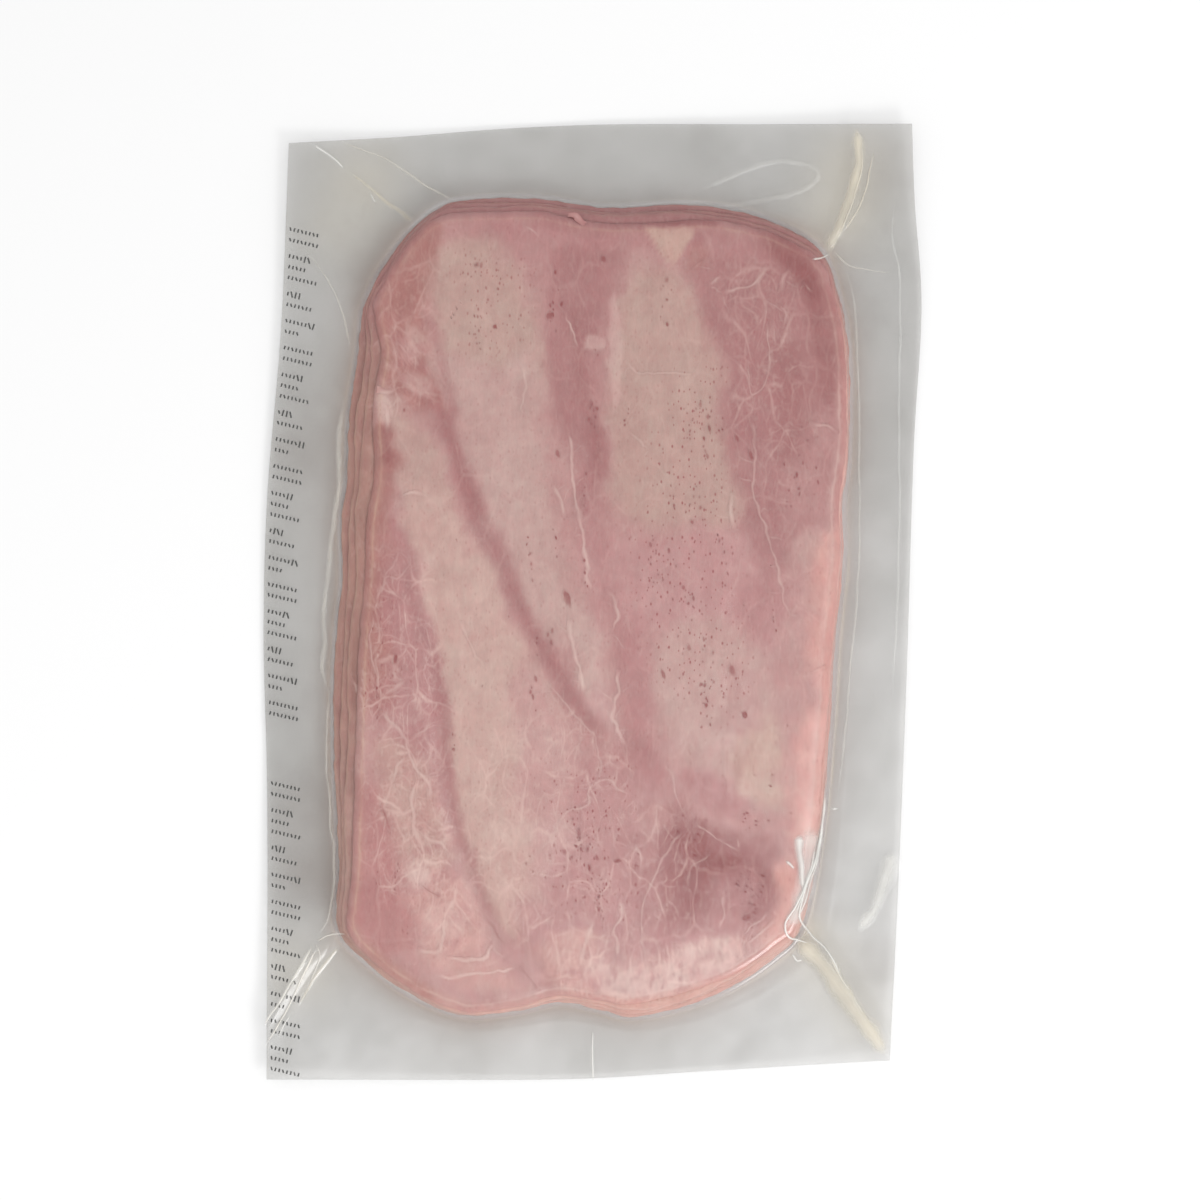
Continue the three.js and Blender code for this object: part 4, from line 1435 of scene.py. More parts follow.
# Single larger pores, as (x, y, half width, half height).
LARGE_PORES: Line = (
    (-30, 87.5, 0.7, 0.7), (-12.5, 91, 1.5, 1.1), (4.5, 109, 0.8, 1), (-7, 1, 1.1, 2.6),
    (-17, -24.5, 0.5, 1.1), (50, -100.5, 1.5, 0.9), (30, 4.5, 0.6, 0.7), (49.5, -36, 0.9, 1.3),
    (45.5, -22, 0.9, 1.7), (23.5, -23, 0.6, 1.5), (2.5, 61.5, 0.6, 0.7), (9, -82.5, 1.1, 0.6),
    (-8, -79.5, 0.7, 0.9), (2.5, -81.5, 0.5, 0.9), (47, 52, 0.5, 1.2), (51.5, 46.5, 0.5, 1.4),
    (-10, 47, 0.6, 1.3),
)


@dataclass
class FaceMarks:
    """Veins, pores and cracks: thin marks that lie on the uppermost cut face."""

    shape: PackShape
    shift: Array
    material: Material
    paint: FacePaint = field(default_factory=FacePaint)
    fat: Colour = (228, 202, 192)
    pit: Colour = (136, 34, 36)
    fat_strength: float = 0.56
    pit_strength: float = 0.7
    crack: float = 0.3  # half a crack's width
    spread: float = 1.55  # how much wider a vein's soft band is than its core
    twig: float = 0.19  # half a side twig's width
    twig_spacing: float = 5.0  # along a vein
    twig_share: float = 0.5  # how many of those places have a twig
    twig_lift: float = 0.025
    fat_lift: float = 0.055
    pore_lift: float = 0.135
    pore_rim: float = 0.42  # share of a pore that fades out
    clear_edge: float = 2.5  # how far from the face's edge its pores stay
    seed: int = 11

    def build(self) -> None:
        """Makes and dresses the three kinds of mark."""
        veins = []
        for half, paths in VEINS.items():
            twigs = [path for path in self._twigs(paths) if self._inside(path).all()]
            groups = ((paths, half, self.fat_lift, 0.012), (twigs, self.twig, self.twig_lift, 0.005))
            for lines, width, lift, rise in groups:
                veins += [self._ribbon(path, width, lift + rise * (k % 6)) for k, path in enumerate(lines)]
        self._finish(veins, "fat_veins", self.fat, self.fat_strength)
        cracks = [self._ribbon(path, self.crack, self.pore_lift) for path in CRACKS]
        self._finish(cracks, "face_cracks", self.pit, self.pit_strength)
        self._finish(self._pores(), "flesh_pores", self.pit, self.pit_strength)

    def _finish(self, parts: list[Piece], name: str, colour: Colour, strength: float) -> None:
        """Joins parts into one piece, drapes it over the cut face and dresses it.

        Args:
            parts: flat marks, millimetres.
            name: the piece's name.
            colour: the marks' colour at their core.
            strength: how much of that colour shows there.
        """
        piece = join_parts(parts, name)
        flat = points_of(piece.data)
        height = self.shape.face(flat) + flat[:, 2]
        set_points(piece, np.column_stack([flat[:, :2], height]), self.shift)
        face_up(piece, True)
        core = read(piece.data, "core")
        x, y = flat[:, 0], flat[:, 1]
        patchy = 0.75 + 0.25 * noise(x, y, 2.5, 62) + 0.2 * noise(x, y, 9.0, 63)
        share = np.clip(core * strength * patchy * 1.1, 0.0, 1.0)
        tint = mix(self.paint.tint(flat), linear(colour), share[:, None])
        self.paint.dress(piece, flat, tint, 1.0 - core)
        finish_piece(piece, self.material)

    def _ribbon(self, path: Line, half: float, lift: float) -> Piece:
        """Lays a narrow band of squares along a vein, five points across.

        Args:
            path: (x, y) along it.
            half: half its width.
            lift: its height over the cut face.

        Returns:
            The band, flat, millimetres.
        """
        chain = smooth_line(path, step=0.8)
        for size, reach in ((4.0, 0.6), (1.7, 0.35)):
            chain += reach * np.stack([noise(*chain.T, size, seed) for seed in (61, 65)], axis=1)
        piece, side, row = ribbon(chain, 4)
        middle = chain[row]
        ragged = 1.0 + 0.5 * noise(middle[:, 0] + 9 * np.sign(side), middle[:, 1], 1.6, 60)
        ragged += 0.4 * noise(*middle.T, 7.0, 64) + 0.9 * ease(noise(*middle.T, 3.4, 66) - 0.2)
        flat = middle + sideways(chain)[row] * (side * half * self.spread * ragged)[:, None]
        piece.data.vertices.foreach_set("co", np.column_stack([flat, np.full(len(flat), lift)]).ravel())
        ends = ease(row / 4.0) * ease((len(chain) - 1 - row) / 4.0) * min(1.0, 0.15 + 1.9 * half)
        store(piece.data, "core", np.interp(np.abs(side), (0.0, 0.5, 1.0), (1.0, 0.5, 0.0)) * ends)
        return piece

    def _twigs(self, paths: Sequence[Line]) -> list[Line]:
        """Short crooked side twigs that leave each vein to one side or the other.

        Args:
            paths: the veins.

        Returns:
            (x, y) points along each twig.
        """
        draw = np.random.default_rng(self.seed)
        twigs = []
        for path in paths:
            chain = smooth_line(path, step=self.twig_spacing)
            across = sideways(chain)
            for spot, way in zip(chain[1:], across[1:]):
                if draw.random() > self.twig_share:
                    continue
                turn = draw.choice((-1.0, 1.0)) * way + draw.uniform(-0.9, 0.9) * np.array((way[1], -way[0]))
                twig = [spot, spot + 0.5 * turn]
                for _ in range(draw.integers(2, 4)):
                    twig.append(twig[-1] + draw.uniform(0.9, 2.0) * turn + draw.normal(size=2) * 0.7)
                twigs.append(tuple(tuple(point) for point in twig))
        return twigs

    def _inside(self, points: Sequence[tuple[float, ...]]) -> Array:
        """Which points lie on the uppermost cut face, clear of its edge."""
        widest = self.shape.widest(Weave(40, 60, 0.25))
        top = self.shape.slice_ring(widest, outward(widest), self.shape.slices - 1)
        return depth_inside(np.array(points)[:, :2], top, 1.0) > self.clear_edge

    def _pores(self) -> list[Piece]:
        """Small eight-sided discs, in clusters and one by one.

        Returns:
            The discs, flat, millimetres.
        """
        rest()
        bpy.ops.mesh.primitive_circle_add(vertices=8, radius=1.0, fill_type="NGON")
        model = bpy.context.active_object
        with edit_mode():
            bpy.ops.mesh.select_all(action="SELECT")
            bpy.ops.mesh.inset(thickness=self.pore_rim)
        disc = points_of(model.data)
        store(model.data, "core", np.where(np.linalg.norm(disc, axis=1) < 0.8, 1.0, 0.0))
        draw = np.random.default_rng(self.seed)
        wanted = [(x, y, a, b, 0.3) for x, y, a, b in LARGE_PORES]
        for group in PORE_CLUSTERS:
            wanted += group.pores(draw)
        discs = []
        for x, y, across, tall, turn in np.array(wanted)[self._inside(wanted)]:
            uneven = 1.3 * (1.0 + draw.uniform(-0.25, 0.25, len(disc)))
            u, v = disc[:, 0] * across * uneven, disc[:, 1] * tall * uneven
            discs.append(copy_turned(model, (x, y, self.pore_lift), u, v, turn))
        bpy.data.objects.remove(model)
        return discs


# ---- The film --------------------------------------------------------------------------

# Where the film is gathered at the ham's corners and runs out to the pouch's corners.
GATHERS: tuple[Fold, ...] = (
    Fold(((-80, -105), (-88, -112), (-104, -138)), 3.2, 3),
    Fold(((66.5, -106.5), (75, -113), (95, -145)), 3.4, 3.4),
    Fold(((74, 112), (83, 124), (86, 151)), 2.8, 3),
    Fold(((-60, 115), (-72, 126), (-84, 142)), 1.6, 4.2),
)
# Sharp small creases in the margin, and painted glints on the film over the ham's lower right edge: height,
# width, milkiness, creaminess and far end. Their white crests are partly painted highlight.
CREASES_AND_GLINTS: tuple[Fold, ...] = (
    Fold(((-78, 65), (-80, 53), (-80, 39), (-82.2, 20), (-84, 6), (-84.8, -4), (-84.4, -12), (-85.4, -22),
        (-83, -30)), 0.3, 2, 0.38, 0.35, 1),
    Fold(((-83, -30), (-84.2, -45), (-83, -66), (-81.4, -88), (-83.6, -101.5), (-88, -108)), 0.4, 1.1, 0.35,
        0.3, 1),
    Fold(((-88, -109), (-93.5, -119), (-98, -126.5), (-104, -136)), 0.7, 1.3, 0.95, 0.2, 0.8),
    Fold(((-87, -110), (-91.5, -120), (-96, -129.5), (-103.5, -142)), 0.6, 1.1, 0.8, 0.3, 0.8),
    Fold(((-87, -109.5), (-86, -113), (-88, -119), (-89.5, -122)), 0.5, 0.8, 0.8, 0.2, 0.5),
    Fold(((-95.5, -132), (-97.5, -135), (-99.5, -139)), 0.4, 0.8, 0.85, 0, 0.8),
    Fold(((-78, -106), (-83.5, -106.5), (-87, -108.5)), 0.4, 0.9, 0.7, 0.3, 0.8),
    Fold(((-80, -110), (-87, -119), (-93, -129)), 0.3, 1.6, 0.35, 0.9, 0.6),
    # Painted glints: white lines and spots where the film over the ham's lower right edge shines.
    Fold(((71.5, -72), (70.2, -79), (69.8, -86), (68.7, -92), (66.5, -98), (64, -104)), 0.2, 8, 0.55, 0,
        0.7),
    Fold(((66.9, -74), (67.2, -80), (67.6, -86), (68.3, -92)), 0.25, 3.4, 0.95, 0, 0.5),
    Fold(((72, -78), (70.2, -86), (68.2, -93), (65.6, -100)), 0.35, 1.2, 0.9, 0, 0.6),
    Fold(((73.6, -78), (71.8, -86), (69.6, -93), (66.6, -101)), 0.4, 1, 0.9, 0, 0.8),
    Fold(((74.8, -72), (71, -85.4), (66.2, -96.4), (62.5, -103), (63.5, -107), (73.2, -109.7)), 0.6, 1.3, 1,
        0, 0.7),
    Fold(((75.4, -58), (73.2, -79), (67.8, -95), (67.2, -101), (71, -106.5), (75.7, -111), (82, -122)), 0.6,
        1.3, 1, 0, 0.7),
    Fold(((66, -107), (77, -119), (86.5, -133), (95, -145)), 0.7, 8.5, 0.85, 0.7, 0.85),
    Fold(((76, -112), (84, -126), (90, -136), (95.5, -144)), 0.4, 1, 0.85, 0.4, 1),
    Fold(((76, 110.5), (79.5, 120), (83, 129), (85, 136), (86, 143), (85, 152)), 0.6, 5.2, 0.7, 0.8, 0.8),
    Fold(((77, 110.5), (80.5, 119), (84.5, 129), (87, 138), (87.5, 146)), 0.4, 0.8, 0.8, 0.6, 0.8),
    Fold(((81, 118), (85.5, 125), (88.5, 132), (90, 139), (91.5, 145)), 0.4, 1.2, 0.5, 0.7, 0.6),
    Fold(((71, 109), (74, 109.5), (77, 111)), 0.4, 0.9, 0.85, 0.2, 0.8),
    Fold(((78.5, 111.5), (83, 108), (89.5, 106), (96.5, 105)), 0.3, 1, 0.45, 0.5, 0.3),
    Fold(((-43.5, 128), (-51.5, 132.5), (-61, 139), (-70.5, 144), (-80, 147)), 0.3, 1.2, 0.4, 0.6, 0.3),
    Fold(((-56, 121), (-66, 129), (-76, 137)), 0.3, 2.4, 0.35, 1, 0.4),
    Fold(((-76.5, 82), (-80, 95), (-85, 105), (-91.5, 113.5)), 0.3, 1, 0.35, 0.5, 0.3),
    Fold(((-88, 146), (-82, 142), (-78, 138.5)), 0.4, 0.9, 0.85, 0, 1),
    Fold(((-70, 130.5), (-68, 127.5)), 0.4, 0.8, 0.6, 0, 1),
    Fold(((82, 108), (84.5, 96), (86, 70), (86.5, 40), (86, 12), (84, -15), (81.5, -45), (79, -64)), 0.2,
        0.9, 0.28, 0.3, 1),
    Fold(((97.5, 130), (97, 115), (99, 105.5), (99, 60), (99, 13), (97, -32)), 0.2, 0.9, 0.25, 0, 1),
    Fold(((1, -137), (1, -145.5), (1, -153)), 0.4, 0.9, 0.8, 0, 1),
    Fold(((35, 131), (49.5, 137.5), (64, 141), (73.5, 137), (67, 131), (54, 128), (41.5, 126.5)), 0.12, 1.8,
        0.13, 0.2, 1),
    # The next two are painted glints too.
    Fold(((77, -65.8), (79.5, -66)), 0.3, 0.9, 0.9, 0, 1),
    Fold(((62.6, -82.5), (64, -83.5), (65.2, -85)), 0.2, 1.6, 0.95, 0, 0.4),
    Fold(((64.5, -112), (66.5, -114.5), (68, -114)), 0.2, 1, 0.9, 0, 1),
    Fold(((97.5, -80), (94, -90), (91.5, -98), (86, -105)), 0.12, 6.5, 0.5, 0.1, 0.6),
)
# Spots of the margin that are creamier, and then those that are darker: x, y, reach and strength.
CREAMY: Line = (
    (-72, 134, 14, 0.7), (80, 124, 13, 0.8), (-92, -118, 13, 0.7), (76, -116, 12, 0.8), (86, -132, 12, 0.7),
    (84, 140, 12, 0.8), (70, -105, 6, 0.9), (-82, 118, 12, 0.4),
)
SHADED: Line = (
    (-88, -68, 14, 0.8), (-87, -88, 14, 1.0), (-92, 46, 15, 0.6), (92, -116, 12, 0.6), (94, 138, 12, 0.5),
)


@dataclass
class Pouch:
    """The clear pouch: film drawn over the ham, film under it, and the flat margin round it."""

    shape: PackShape
    shift: Array
    upper_weave: Weave = Weave(130, 210, 0.6)
    lower_weave: Weave = Weave(70, 110, 0.5)
    seal_depth: float = 0.3  # how far the lower film lies under the upper one
    over_ham: float = 0.012  # milkiness where the film clings to the ham
    under_ham: float = 0.05
    margin: float = 0.26  # milkiness of one film in the margin
    painted_light_low: float = 0.15  # share of it that is lost towards the closed end, painting light there as a lighter margin
    # The share lost towards the lower right also paints light there.
    painted_light_right: float = 0.17
    beside: float = 0.1  # extra milkiness close to the ham: painted shade and bounce light from the ham
    lip_haze_and_light: float = 0.36  # of the thin line where the films meet, partly a painted highlight that shows most towards the lower right
    crease_lift: float = 0.1
    face_rings: int = 10  # rings of squares in the upper film, over the ham
    margin_rings: int = 56  # and out over the margin
    under_rings: int = 8  # and the same in the lower film
    under_margin_rings: int = 30
    flat_reach: float = 2.4  # how far inside the ham's edge the upper film stays flat
    under_reach: float = 2.5  # and the lower one
    shoulder: Line = ((1.1, 0.26), (0.4, 0.62))  # over the uppermost edge: how far in, and how far down
    clearance: float = 0.15  # outside each slice's edge
    tread: Line = ((0.0, 0.95), (0.35, 1.45), (0.7, 1.85))  # from edge to edge: share of the way, and drop
    turn_up: Line = ((-1.6, 0.06), (-0.8, 0.22), (0.0, 0.5), (0.6, 0.75))  # under the edge: offset, height
    under: float = 0.03  # height of the lower film
    grey: Colour = (149, 146, 140)
    # The tan of the painted shade and bounce light beside the ham.
    tan: Colour = (156, 130, 112)
    cream: Colour = (226, 214, 188)
    shade: Colour = (132, 118, 108)
    # The white of the creases' crests, a painted highlight.
    white: Colour = (246, 245, 240)
    upper: Piece = field(init=False)

    def build(self) -> None:
        """Makes and dresses both films, and the creases and painted glints on the upper one."""
        material = FilmFinish("pouch_film").build()
        self.upper = self._upper()
        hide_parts(SOLID)
        for piece in (self.upper, self._lower(), self._creases()):
            finish_piece(piece, material)

    def height(self, places: Array) -> Array:
        """Height of the margin's upper film at each place, gathers included."""
        gathers = []
        for fold in GATHERS:
            distance, share = nearest(places, smooth_line(fold.path, step=3.0), 4 * fold.width)
            near = 0.6 * np.exp(-((distance / fold.width) ** 2)) + 0.4 * np.exp(-2.5 * distance / fold.width)
            near = np.where(distance < 4 * fold.width, near, 0.0)
            gathers.append(fold.height * mix(1.0, fold.end, share) * near)
        x, y = places[:, 0], places[:, 1]
        crinkle = 0.12 * noise(x, y, 11.0, 70) + 0.05 * noise(x, y, 4.5, 71)
        return self.shape.loose(places) + np.max(gathers, axis=0) + crinkle

    def lay(self, piece: Piece, lift: float) -> None:
        """Lays a flat piece on the upper film, or on the margin's even surface beyond its edge.

        Args:
            piece: the piece, with its points in millimetres.
            lift: its height over the film.
        """
        bpy.context.view_layer.update()
        flat = points_of(piece.data)
        ground = self.height(flat)
        spots = (flat[:, :2] + self.shift[:2]) * MM
        for k, (x, y) in enumerate(spots):
            met, spot, _, _ = self.upper.ray_cast((x, y, 0.1), (0.0, 0.0, -1.0))
            if met:
                ground[k] = spot[2] / MM - self.shift[2]
        set_points(piece, np.column_stack([flat[:, :2], ground + flat[:, 2] + lift]), self.shift, False)
        face_up(piece, True)

    def _upper(self) -> Piece:
        """The upper film: over the cut face, down the slices' edges and out to the cut edge.

        Returns:
            The film.
        """
        shape, weave = self.shape, self.upper_weave
        widest = shape.widest(weave)
        out = outward(widest)
        slices = [shape.slice_ring(widest, out, number) for number in range(shape.slices)]
        top = slices[-1]
        middle = shape.middle(top)
        inner = top - self.flat_reach * out
        levels: list[Array] = []
        heights: list[Array] = []
        for share in np.linspace(0, 1, self.face_rings + 1)[1:]:
            levels.append(mix(middle, inner, share))
            heights.append(shape.face(levels[-1]) + shape.film_gap)
        ceiling = heights[-1]
        for within, drop in self.shoulder:
            levels.append(top - within * out)
            heights.append(ceiling - drop)
        for number in range(shape.slices - 1, 0, -1):
            here, below = (slices[k] + self.clearance * out for k in (number, number - 1))
            for share, drop in self.tread:
                if number > 1 or share == 0.0:
                    levels.append(mix(here, below, share))
                    heights.append(ceiling - drop)
            ceiling = np.full(len(out), number * shape.slice_thickness + shape.film_gap)
        tuck = widest + shape.tuck_gap * out
        base = shape.tuck_height - 0.15
        levels += [mix(levels[-1], tuck, 0.5), tuck]
        heights += [np.full(len(out), base + 0.2), np.full(len(out), base)]
        tucked = len(levels)
        pouch = shape.pouch(weave)
        shares = np.linspace(0, 1, self.margin_rings + 1)[1:] ** 1.25
        margin = [mix(tuck, pouch, share) for share in shares]
        loose = self.height(np.vstack(margin)).reshape(len(margin), -1)
        levels += margin
        heights += [mix(base, row, ease(share / shape.settle)) for share, row in zip(shares, loose)]
        levels.append(pouch)
        heights.append(shape.loose(pouch) - self.seal_depth)
        return self._sheet("film_upper", weave, middle, levels, heights, tucked)

    def _lower(self) -> Piece:
        """The lower film: flat under the ham, then up to the margin.

        Returns:
            The film.
        """
        shape, weave = self.shape, self.lower_weave
        widest = shape.widest(weave)
        out = outward(widest)
        middle = shape.middle(widest)
        base = widest - self.under_reach * out
        tuck = widest + shape.tuck_gap * out
        pouch = shape.pouch(weave)
        levels = [mix(middle, base, share) for share in np.linspace(0, 1, self.under_rings + 1)[1:]]
        heights = [np.full(len(out), self.under) for _ in levels]
        for offset, height in self.turn_up:
            levels.append(widest + offset * out)
            heights.append(np.full(len(out), height))
        tucked = len(levels)
        for share in np.linspace(0, 1, self.under_margin_rings + 1)[1:]:
            ring = mix(tuck, pouch, share)
            levels.append(ring)
            heights.append(np.maximum(shape.loose(ring) - self.seal_depth, 0.05))
        return self._sheet("film_lower", weave, middle, levels, heights, tucked)

    def _sheet(self, name: str, weave: Weave, middle: Array, levels: list[Array],
               heights: list[Array], tucked: int) -> Piece:
        """Builds one film from its rings and says how milky it is, painted light and shade included.

        Args:
            name: the piece's name.
            weave: how finely it is divided.
            middle: the ring that the squares fill.
            levels: the rings round it.
            heights: each ring's heights.
            tucked: the level beside the ham, where the two films meet.

        Returns:
            The film.
        """
        upper = name == "film_upper"
        sheet = Sheet(name, weave, len(levels))
        rings = np.stack([np.column_stack([ring, height]) for ring, height in zip(levels, heights)])
        places = sheet.spread(np.column_stack([middle, np.zeros(len(middle))]), rings)
        block = sheet.level == 0
        flat = places[block, :2]
        places[block, 2] = self.shape.face(flat) + self.shape.film_gap if upper else self.under
        set_points(sheet.piece, places, self.shift)
        face_up(sheet.piece, upper)
        beyond = np.full(len(places), -50.0)
        away = places[~block, :2] - levels[tucked - 1][sheet.spot[~block]]
        beyond[~block] = np.linalg.norm(away, axis=1) * np.sign(sheet.level[~block] - tucked)
        haze_and_light, milk_and_light = self._milkiness_and_light(places, beyond, upper)
        store(sheet.piece.data, "haze_and_light", haze_and_light)
        store(sheet.piece.data, "milk_and_light", milk_and_light)
        return sheet.piece

    def _milkiness_and_light(self, places: Array, beyond: Array, upper: bool) -> tuple[Array, Array]:
        """How milky a film is at each point, and the colour of that milkiness, with painted light and shade
        laid in: a margin painted lighter towards the lower right, painted shade and bounce light beside the
        ham, darker spots of painted shade, slow streaks that are partly painted soft reflection, and a lip
        line that is partly painted highlight.

        Args:
            places: the film's points, millimetres.
            beyond: how far each lies outside the ham.
            upper: whether it is the upper film.

        Returns:
            Milkiness of 0 to 1, and colours.
        """
        x, y = places[:, 0], places[:, 1]
        outside = ease(0.5 + beyond / 1.6)
        # Painted light: less haze, so a lighter margin, towards the closed end and the lower right.
        low, right = ease((-y - 55.0) / 75.0), ease(x / 90.0) * ease((70.0 - y) / 60.0)
        margin = self.margin * (1.0 - self.painted_light_low * low - self.painted_light_right * right)
        # Painted shade and bounce light beside the ham: more haze, in tan, close to it, weaker at the top and
        # towards the lower right.
        near = 0.6 * np.exp(-np.maximum(beyond, 0.0) / 7.0) + 0.4 * np.exp(-np.maximum(beyond, 0.0) / 2.0)
        near = near * (1.0 - 0.75 * ease((y - 118.0) / 8.0)) * (1.0 - 0.4 * right)
        haze_and_light = mix(self.over_ham if upper else self.under_ham, margin + self.beside * near, outside)
        milk_and_light = mix(linear(self.grey), linear(self.tan), near[:, None])
        if upper:
            # Slow streaks of more and less haze, partly painted soft reflection.
            streaks = noise(x * 0.5, y * 0.5, 9.0, 80) + 0.6 * noise(x, y, 5.0, 81)
            haze_and_light = haze_and_light + 0.045 * outside * streaks
            for spots, tone, more in ((CREAMY, self.cream, 0.07), (SHADED, self.shade, 0.14)):
                for spot_x, spot_y, reach, strength in spots:
                    close = strength * np.exp(-((x - spot_x) ** 2 + (y - spot_y) ** 2) / reach**2) * outside
                    milk_and_light = mix(milk_and_light, linear(tone), 0.75 * close[:, None])
                    haze_and_light = haze_and_light + more * close
            # The lip where the films meet is partly the doubled film and partly a painted highlight, shown
            # most towards the lower right.
            shown = 0.3 + 0.7 * ease((x - 40.0) / 30.0) * ease((30.0 - y) / 30.0)
            lip = np.exp(-(((beyond - 0.6) / 0.5) ** 2)) * (0.75 + 0.25 * noise(x, y, 6.0, 82)) * shown
            haze_and_light = mix(haze_and_light, self.lip_haze_and_light, 0.7 * lip)
            milk_and_light = mix(milk_and_light, linear(self.cream), 0.8 * lip[:, None])
        return haze_and_light, milk_and_light

    def _creases(self) -> Piece:
        """The sharp creases and painted glints: raised ribbons that follow the upper film, their white crests
        partly painted highlight.

        Returns:
            All the creases as one piece.
        """
        parts, crests = [], []
        for fold in CREASES_AND_GLINTS:
            chain = smooth_line(fold.path, step=0.9)
            chain += 0.35 * np.stack([noise(*chain.T, 6.0, 83), noise(*chain.T, 6.0, 84)], axis=1)
            piece, side, row = ribbon(chain, 6)
            share = row / (len(chain) - 1)
            ends = ease(share * 9) * ease((1 - share) * 9)
            uneven = 1.0 + 0.35 * noise(chain[row, 0] + 5 * side, chain[row, 1], 3.5, 85)
            half = 0.5 * fold.width * mix(1.0, fold.end, share) * uneven * (0.4 + 0.6 * ends)
            flat = chain[row] + sideways(chain)[row] * (side * half)[:, None]
            crest = np.interp(np.abs(side), (0.0, 0.34, 0.67, 1.0), (1.0, 0.8, 0.35, 0.0))
            piece.data.vertices.foreach_set("co", np.column_stack([flat, fold.height * crest * ends]).ravel())
            broken = 0.8 + 0.2 * noise(chain[row, 0], chain[row, 1], 5.0, 86)
            store(piece.data, "haze_and_light", fold.haze_and_light * crest * ends * broken)
            # White crests are painted highlight, and the cream is the film's own.
            milk_and_light = mix(linear(self.white), linear(self.cream), fold.cream)
            store(piece.data, "milk_and_light", np.tile(milk_and_light, (len(side), 1)))
            parts.append(piece)
            crests.append(len(side))
        piece = join_parts(parts, "film_creases_and_glints")
        self.lay(piece, self.crease_lift)
        return piece


# ---- The printed margin ----------------------------------------------------------------


class Rows(Enum):
    """A plain group of dashed rows; each row is (dashes, drop from the last row, tall dashes)."""

    LONG = ((8, 0.0, 0), (8, 3.4, 0))
    STEPPED = ((6, 0.0, 2), (5, 3.4, 0), (8, 3.4, 0))
    SHORT = ((4, 0.0, 3), (7, 3.4, 0))
    OPEN = ((8, 0.0, 2), (4, 3.4, 0))


@dataclass
class PrintedMargin:
    """Slightly sloping rows of short dashes down the left margin, in plain repeating groups."""

    pouch: Pouch
    ink: Colour = (66, 66, 64)
    dash_length: float = 1.15
    tall_length: float = 2.0
    dash_width: float = 0.5
    pitch: float = 1.22
    inset: float = 1.6  # of the first dash from the pouch's edge
    slope: float = 0.24  # of a row, downwards away from the edge
    lean: float = 14.0  # degrees
    lift: float = 0.06
    group_gap: float = 5.2
    stretches: tuple[tuple[float, float], ...] = ((119.0, -33.0), (-58.0, -143.0))
    seed: int = 5

    def build(self) -> None:
        """Makes and dresses the dashes."""
        rest()
        bpy.ops.mesh.primitive_plane_add(size=1.0)
        model = bpy.context.active_object
        u, v = points_of(model.data)[:, :2].T
        parts = []
        for x, y, length, lean in self._spots():
            turn = -math.radians(lean)
            parts.append(copy_turned(model, (x, y, 0.0), u * self.dash_width, v * length, turn))
        bpy.data.objects.remove(model)
        piece = join_parts(parts, "margin_dashes")
        self.pouch.lay(piece, self.lift)
        finish_piece(piece, self._ink())

    def _spots(self) -> list[tuple[float, float, float, float]]:
        """Every dash's (x, y, length, lean in degrees)."""
        weave = Weave(24, 60, 0.0)
        left = self.pouch.shape.pouch(weave)[2 * weave.across + weave.along :]
        order = np.argsort(left[:, 1])
        spots = []
        draw = np.random.default_rng(self.seed)
        for high, low in self.stretches:
            y, turn = high, 0
            while y > low:
                group = list(Rows)[turn % len(Rows)]
                for dashes, drop, tall in group.value:
                    y -= drop
                    edge = float(np.interp(y, left[order, 1], left[order, 0])) + self.inset
                    for k in range(dashes):
                        length = self.tall_length if k >= dashes - tall else self.dash_length
                        lean = self.lean * (1 if (k + turn) % 3 else -1) + draw.uniform(-5, 5)
                        spots.append((edge + k * self.pitch, y - self.slope * k * self.pitch, length, lean))
                y -= self.group_gap
                turn += 1
        return spots

    def _ink(self) -> Material:
        """Dark grey ink, a little worn."""
        material, g, output = new_material("margin_ink")
        worn = g.add("TexNoise", {"Vector": g.millimetres(), "Scale": 1.4, "Detail": 2.0}).outputs[0]
        alpha = g.span(worn, 0.3, 0.55, (0.7, 1.0))
        shader = g.add("BsdfPrincipled", {
            "Base Color": (*linear(self.ink), 1), "Roughness": 0.5, "Alpha": alpha,
        })
        g.feed(output.inputs["Surface"], shader.outputs[0])
        return material


# ---- The studio ------------------------------------------------------------------------


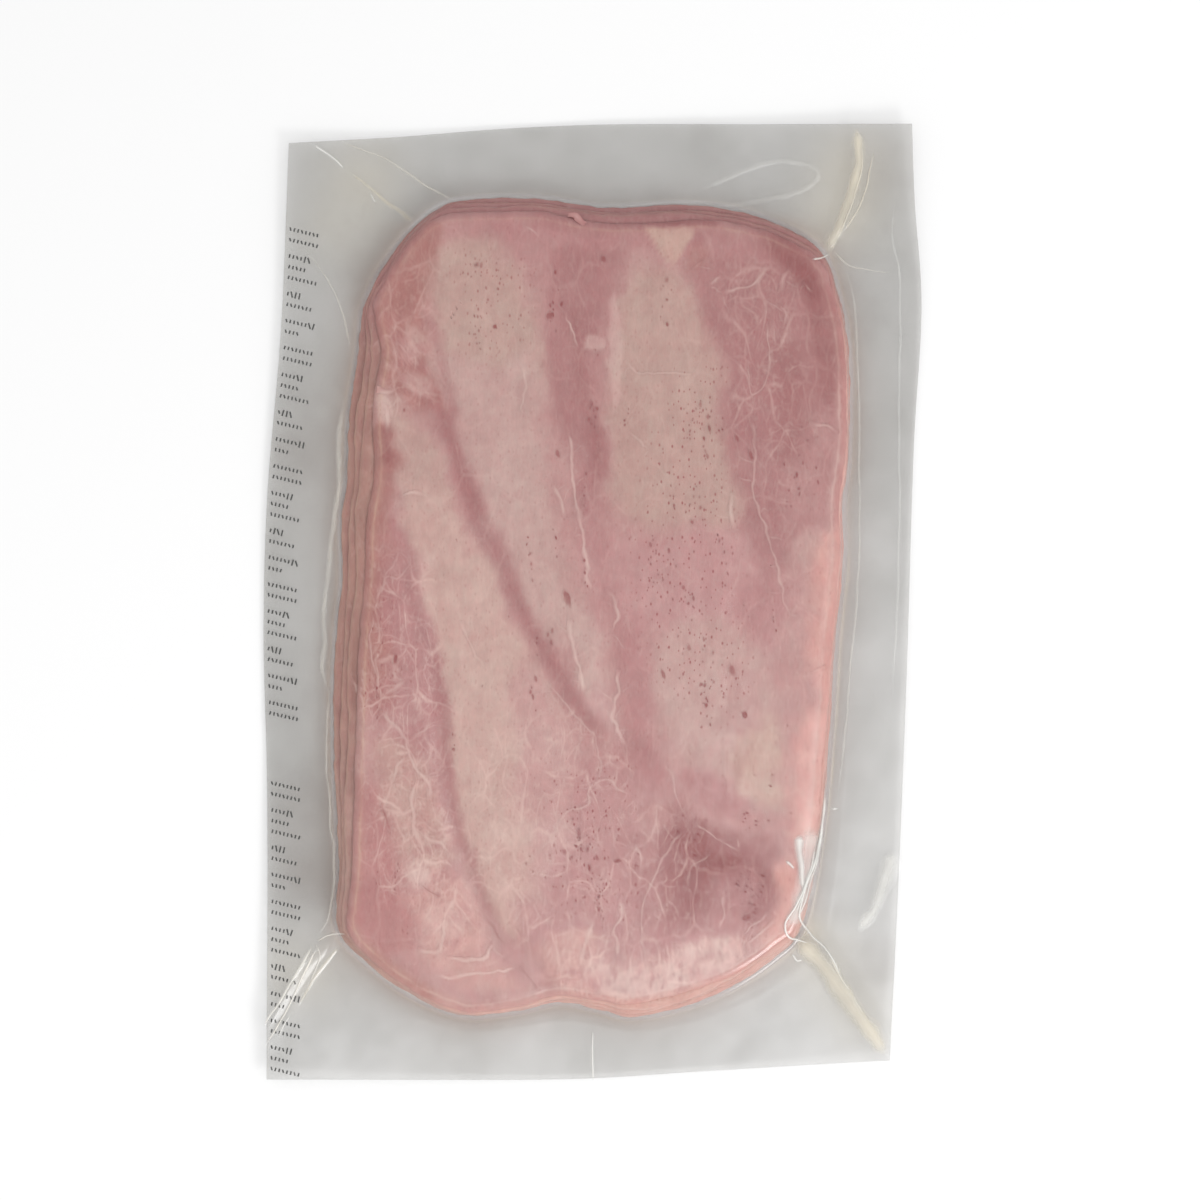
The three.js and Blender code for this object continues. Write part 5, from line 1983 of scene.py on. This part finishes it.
@dataclass
class Studio:
    """A plain pale floor, soft light and a camera that looks straight down."""

    floor_size: float = 3.0
    floor_drop: float = 0.0006
    floor_colour: tuple[float, float, float] = (0.93, 0.93, 0.93)
    sky: float = 0.83
    camera_place: tuple[float, float, float] = (0.0024, 0.0006, 1.6)
    frame_width: float = 0.384
    sensor: float = 36.0

    def build(self) -> None:
        """Makes the floor, the lights and the camera."""
        self._floor()
        self._world()
        self._light("overhead", (0.28, -0.38, 1.9), 0.62, 2.4)
        self._light("window", (0.75, -0.9, 0.95), 0.5, 8.0)
        self._camera()
        bpy.context.scene.view_settings.view_transform = "Standard"

    def _floor(self) -> None:
        """Adds the floor just below the pack."""
        rest()
        bpy.ops.mesh.primitive_plane_add(size=self.floor_size, location=(0, 0, -self.floor_drop))
        floor = bpy.context.active_object
        floor.name = "studio_floor"
        bpy.ops.object.transform_apply(location=True, rotation=True, scale=True)
        material, g, output = new_material("studio_floor")
        shader = g.add("BsdfPrincipled", {"Base Color": (*self.floor_colour, 1), "Roughness": 0.9})
        shader.inputs["Specular IOR Level"].default_value = 0.1
        g.feed(output.inputs["Surface"], shader.outputs[0])
        floor.data.materials.append(material)
        floor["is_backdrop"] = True

    def _world(self) -> None:
        """Fills the room with even white light."""
        world = bpy.data.worlds.new("studio")
        bpy.context.scene.world = world
        world.use_nodes = True
        background = world.node_tree.nodes["Background"]
        background.inputs["Color"].default_value = (1, 1, 1, 1)
        background.inputs["Strength"].default_value = self.sky

    @staticmethod
    def _light(name: str, place: tuple[float, float, float], size: float, power: float) -> None:
        """Adds a soft square light that faces the pack.

        Args:
            name: its name.
            place: where it is, metres.
            size: its side, metres.
            power: its power, watts.
        """
        rest()
        bpy.ops.object.light_add(type="AREA", location=place)
        light = bpy.context.active_object
        light.name = name
        light.data.size = size
        light.data.energy = power
        light.visible_camera = False
        across = math.hypot(place[0], place[1])
        light.rotation_euler = (math.atan2(across, place[2]), 0, math.atan2(place[0], -place[1]))

    def _camera(self) -> None:
        """Adds the camera and makes it the scene's."""
        rest()
        bpy.ops.object.camera_add(location=self.camera_place, rotation=(0, 0, 0))
        camera = bpy.context.active_object
        camera.name = "camera"
        camera.data.sensor_width = self.sensor
        camera.data.lens = self.sensor * self.camera_place[2] / self.frame_width
        bpy.context.scene.camera = camera


def frame_shift(shape: PackShape) -> Array:
    """The millimetres to add to places about the pack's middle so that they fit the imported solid."""
    low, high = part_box(SOLID)
    outline = shape.pouch(Weave(24, 36, 0.7))
    own = (outline.min(0) + outline.max(0)) / 2
    return np.array([(low.x + high.x) / 2 / MM - own[0], (low.y + high.y) / 2 / MM - own[1], low.z / MM])


def main() -> None:
    """Builds the pack and the studio, and works out the bounds of the imported solid and of the whole scene.
    """
    logging.basicConfig(level=logging.INFO, format="%(name)s: %(message)s")
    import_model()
    solid_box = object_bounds()
    shape = PackShape()
    shift = frame_shift(shape)
    effects = Effects()
    ham = HamFinish().build(effects)
    HamStack(shape, shift, ham).build()
    FaceMarks(shape, shift, ham).build()
    pouch = Pouch(shape, shift)
    pouch.build()
    PrintedMargin(pouch).build()
    Studio().build()
    boxes = {"cad": solid_box, "visual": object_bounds()}
    {name: [list(corner) for corner in box] for name, box in boxes.items()}


if __name__ == "__main__":
    main()
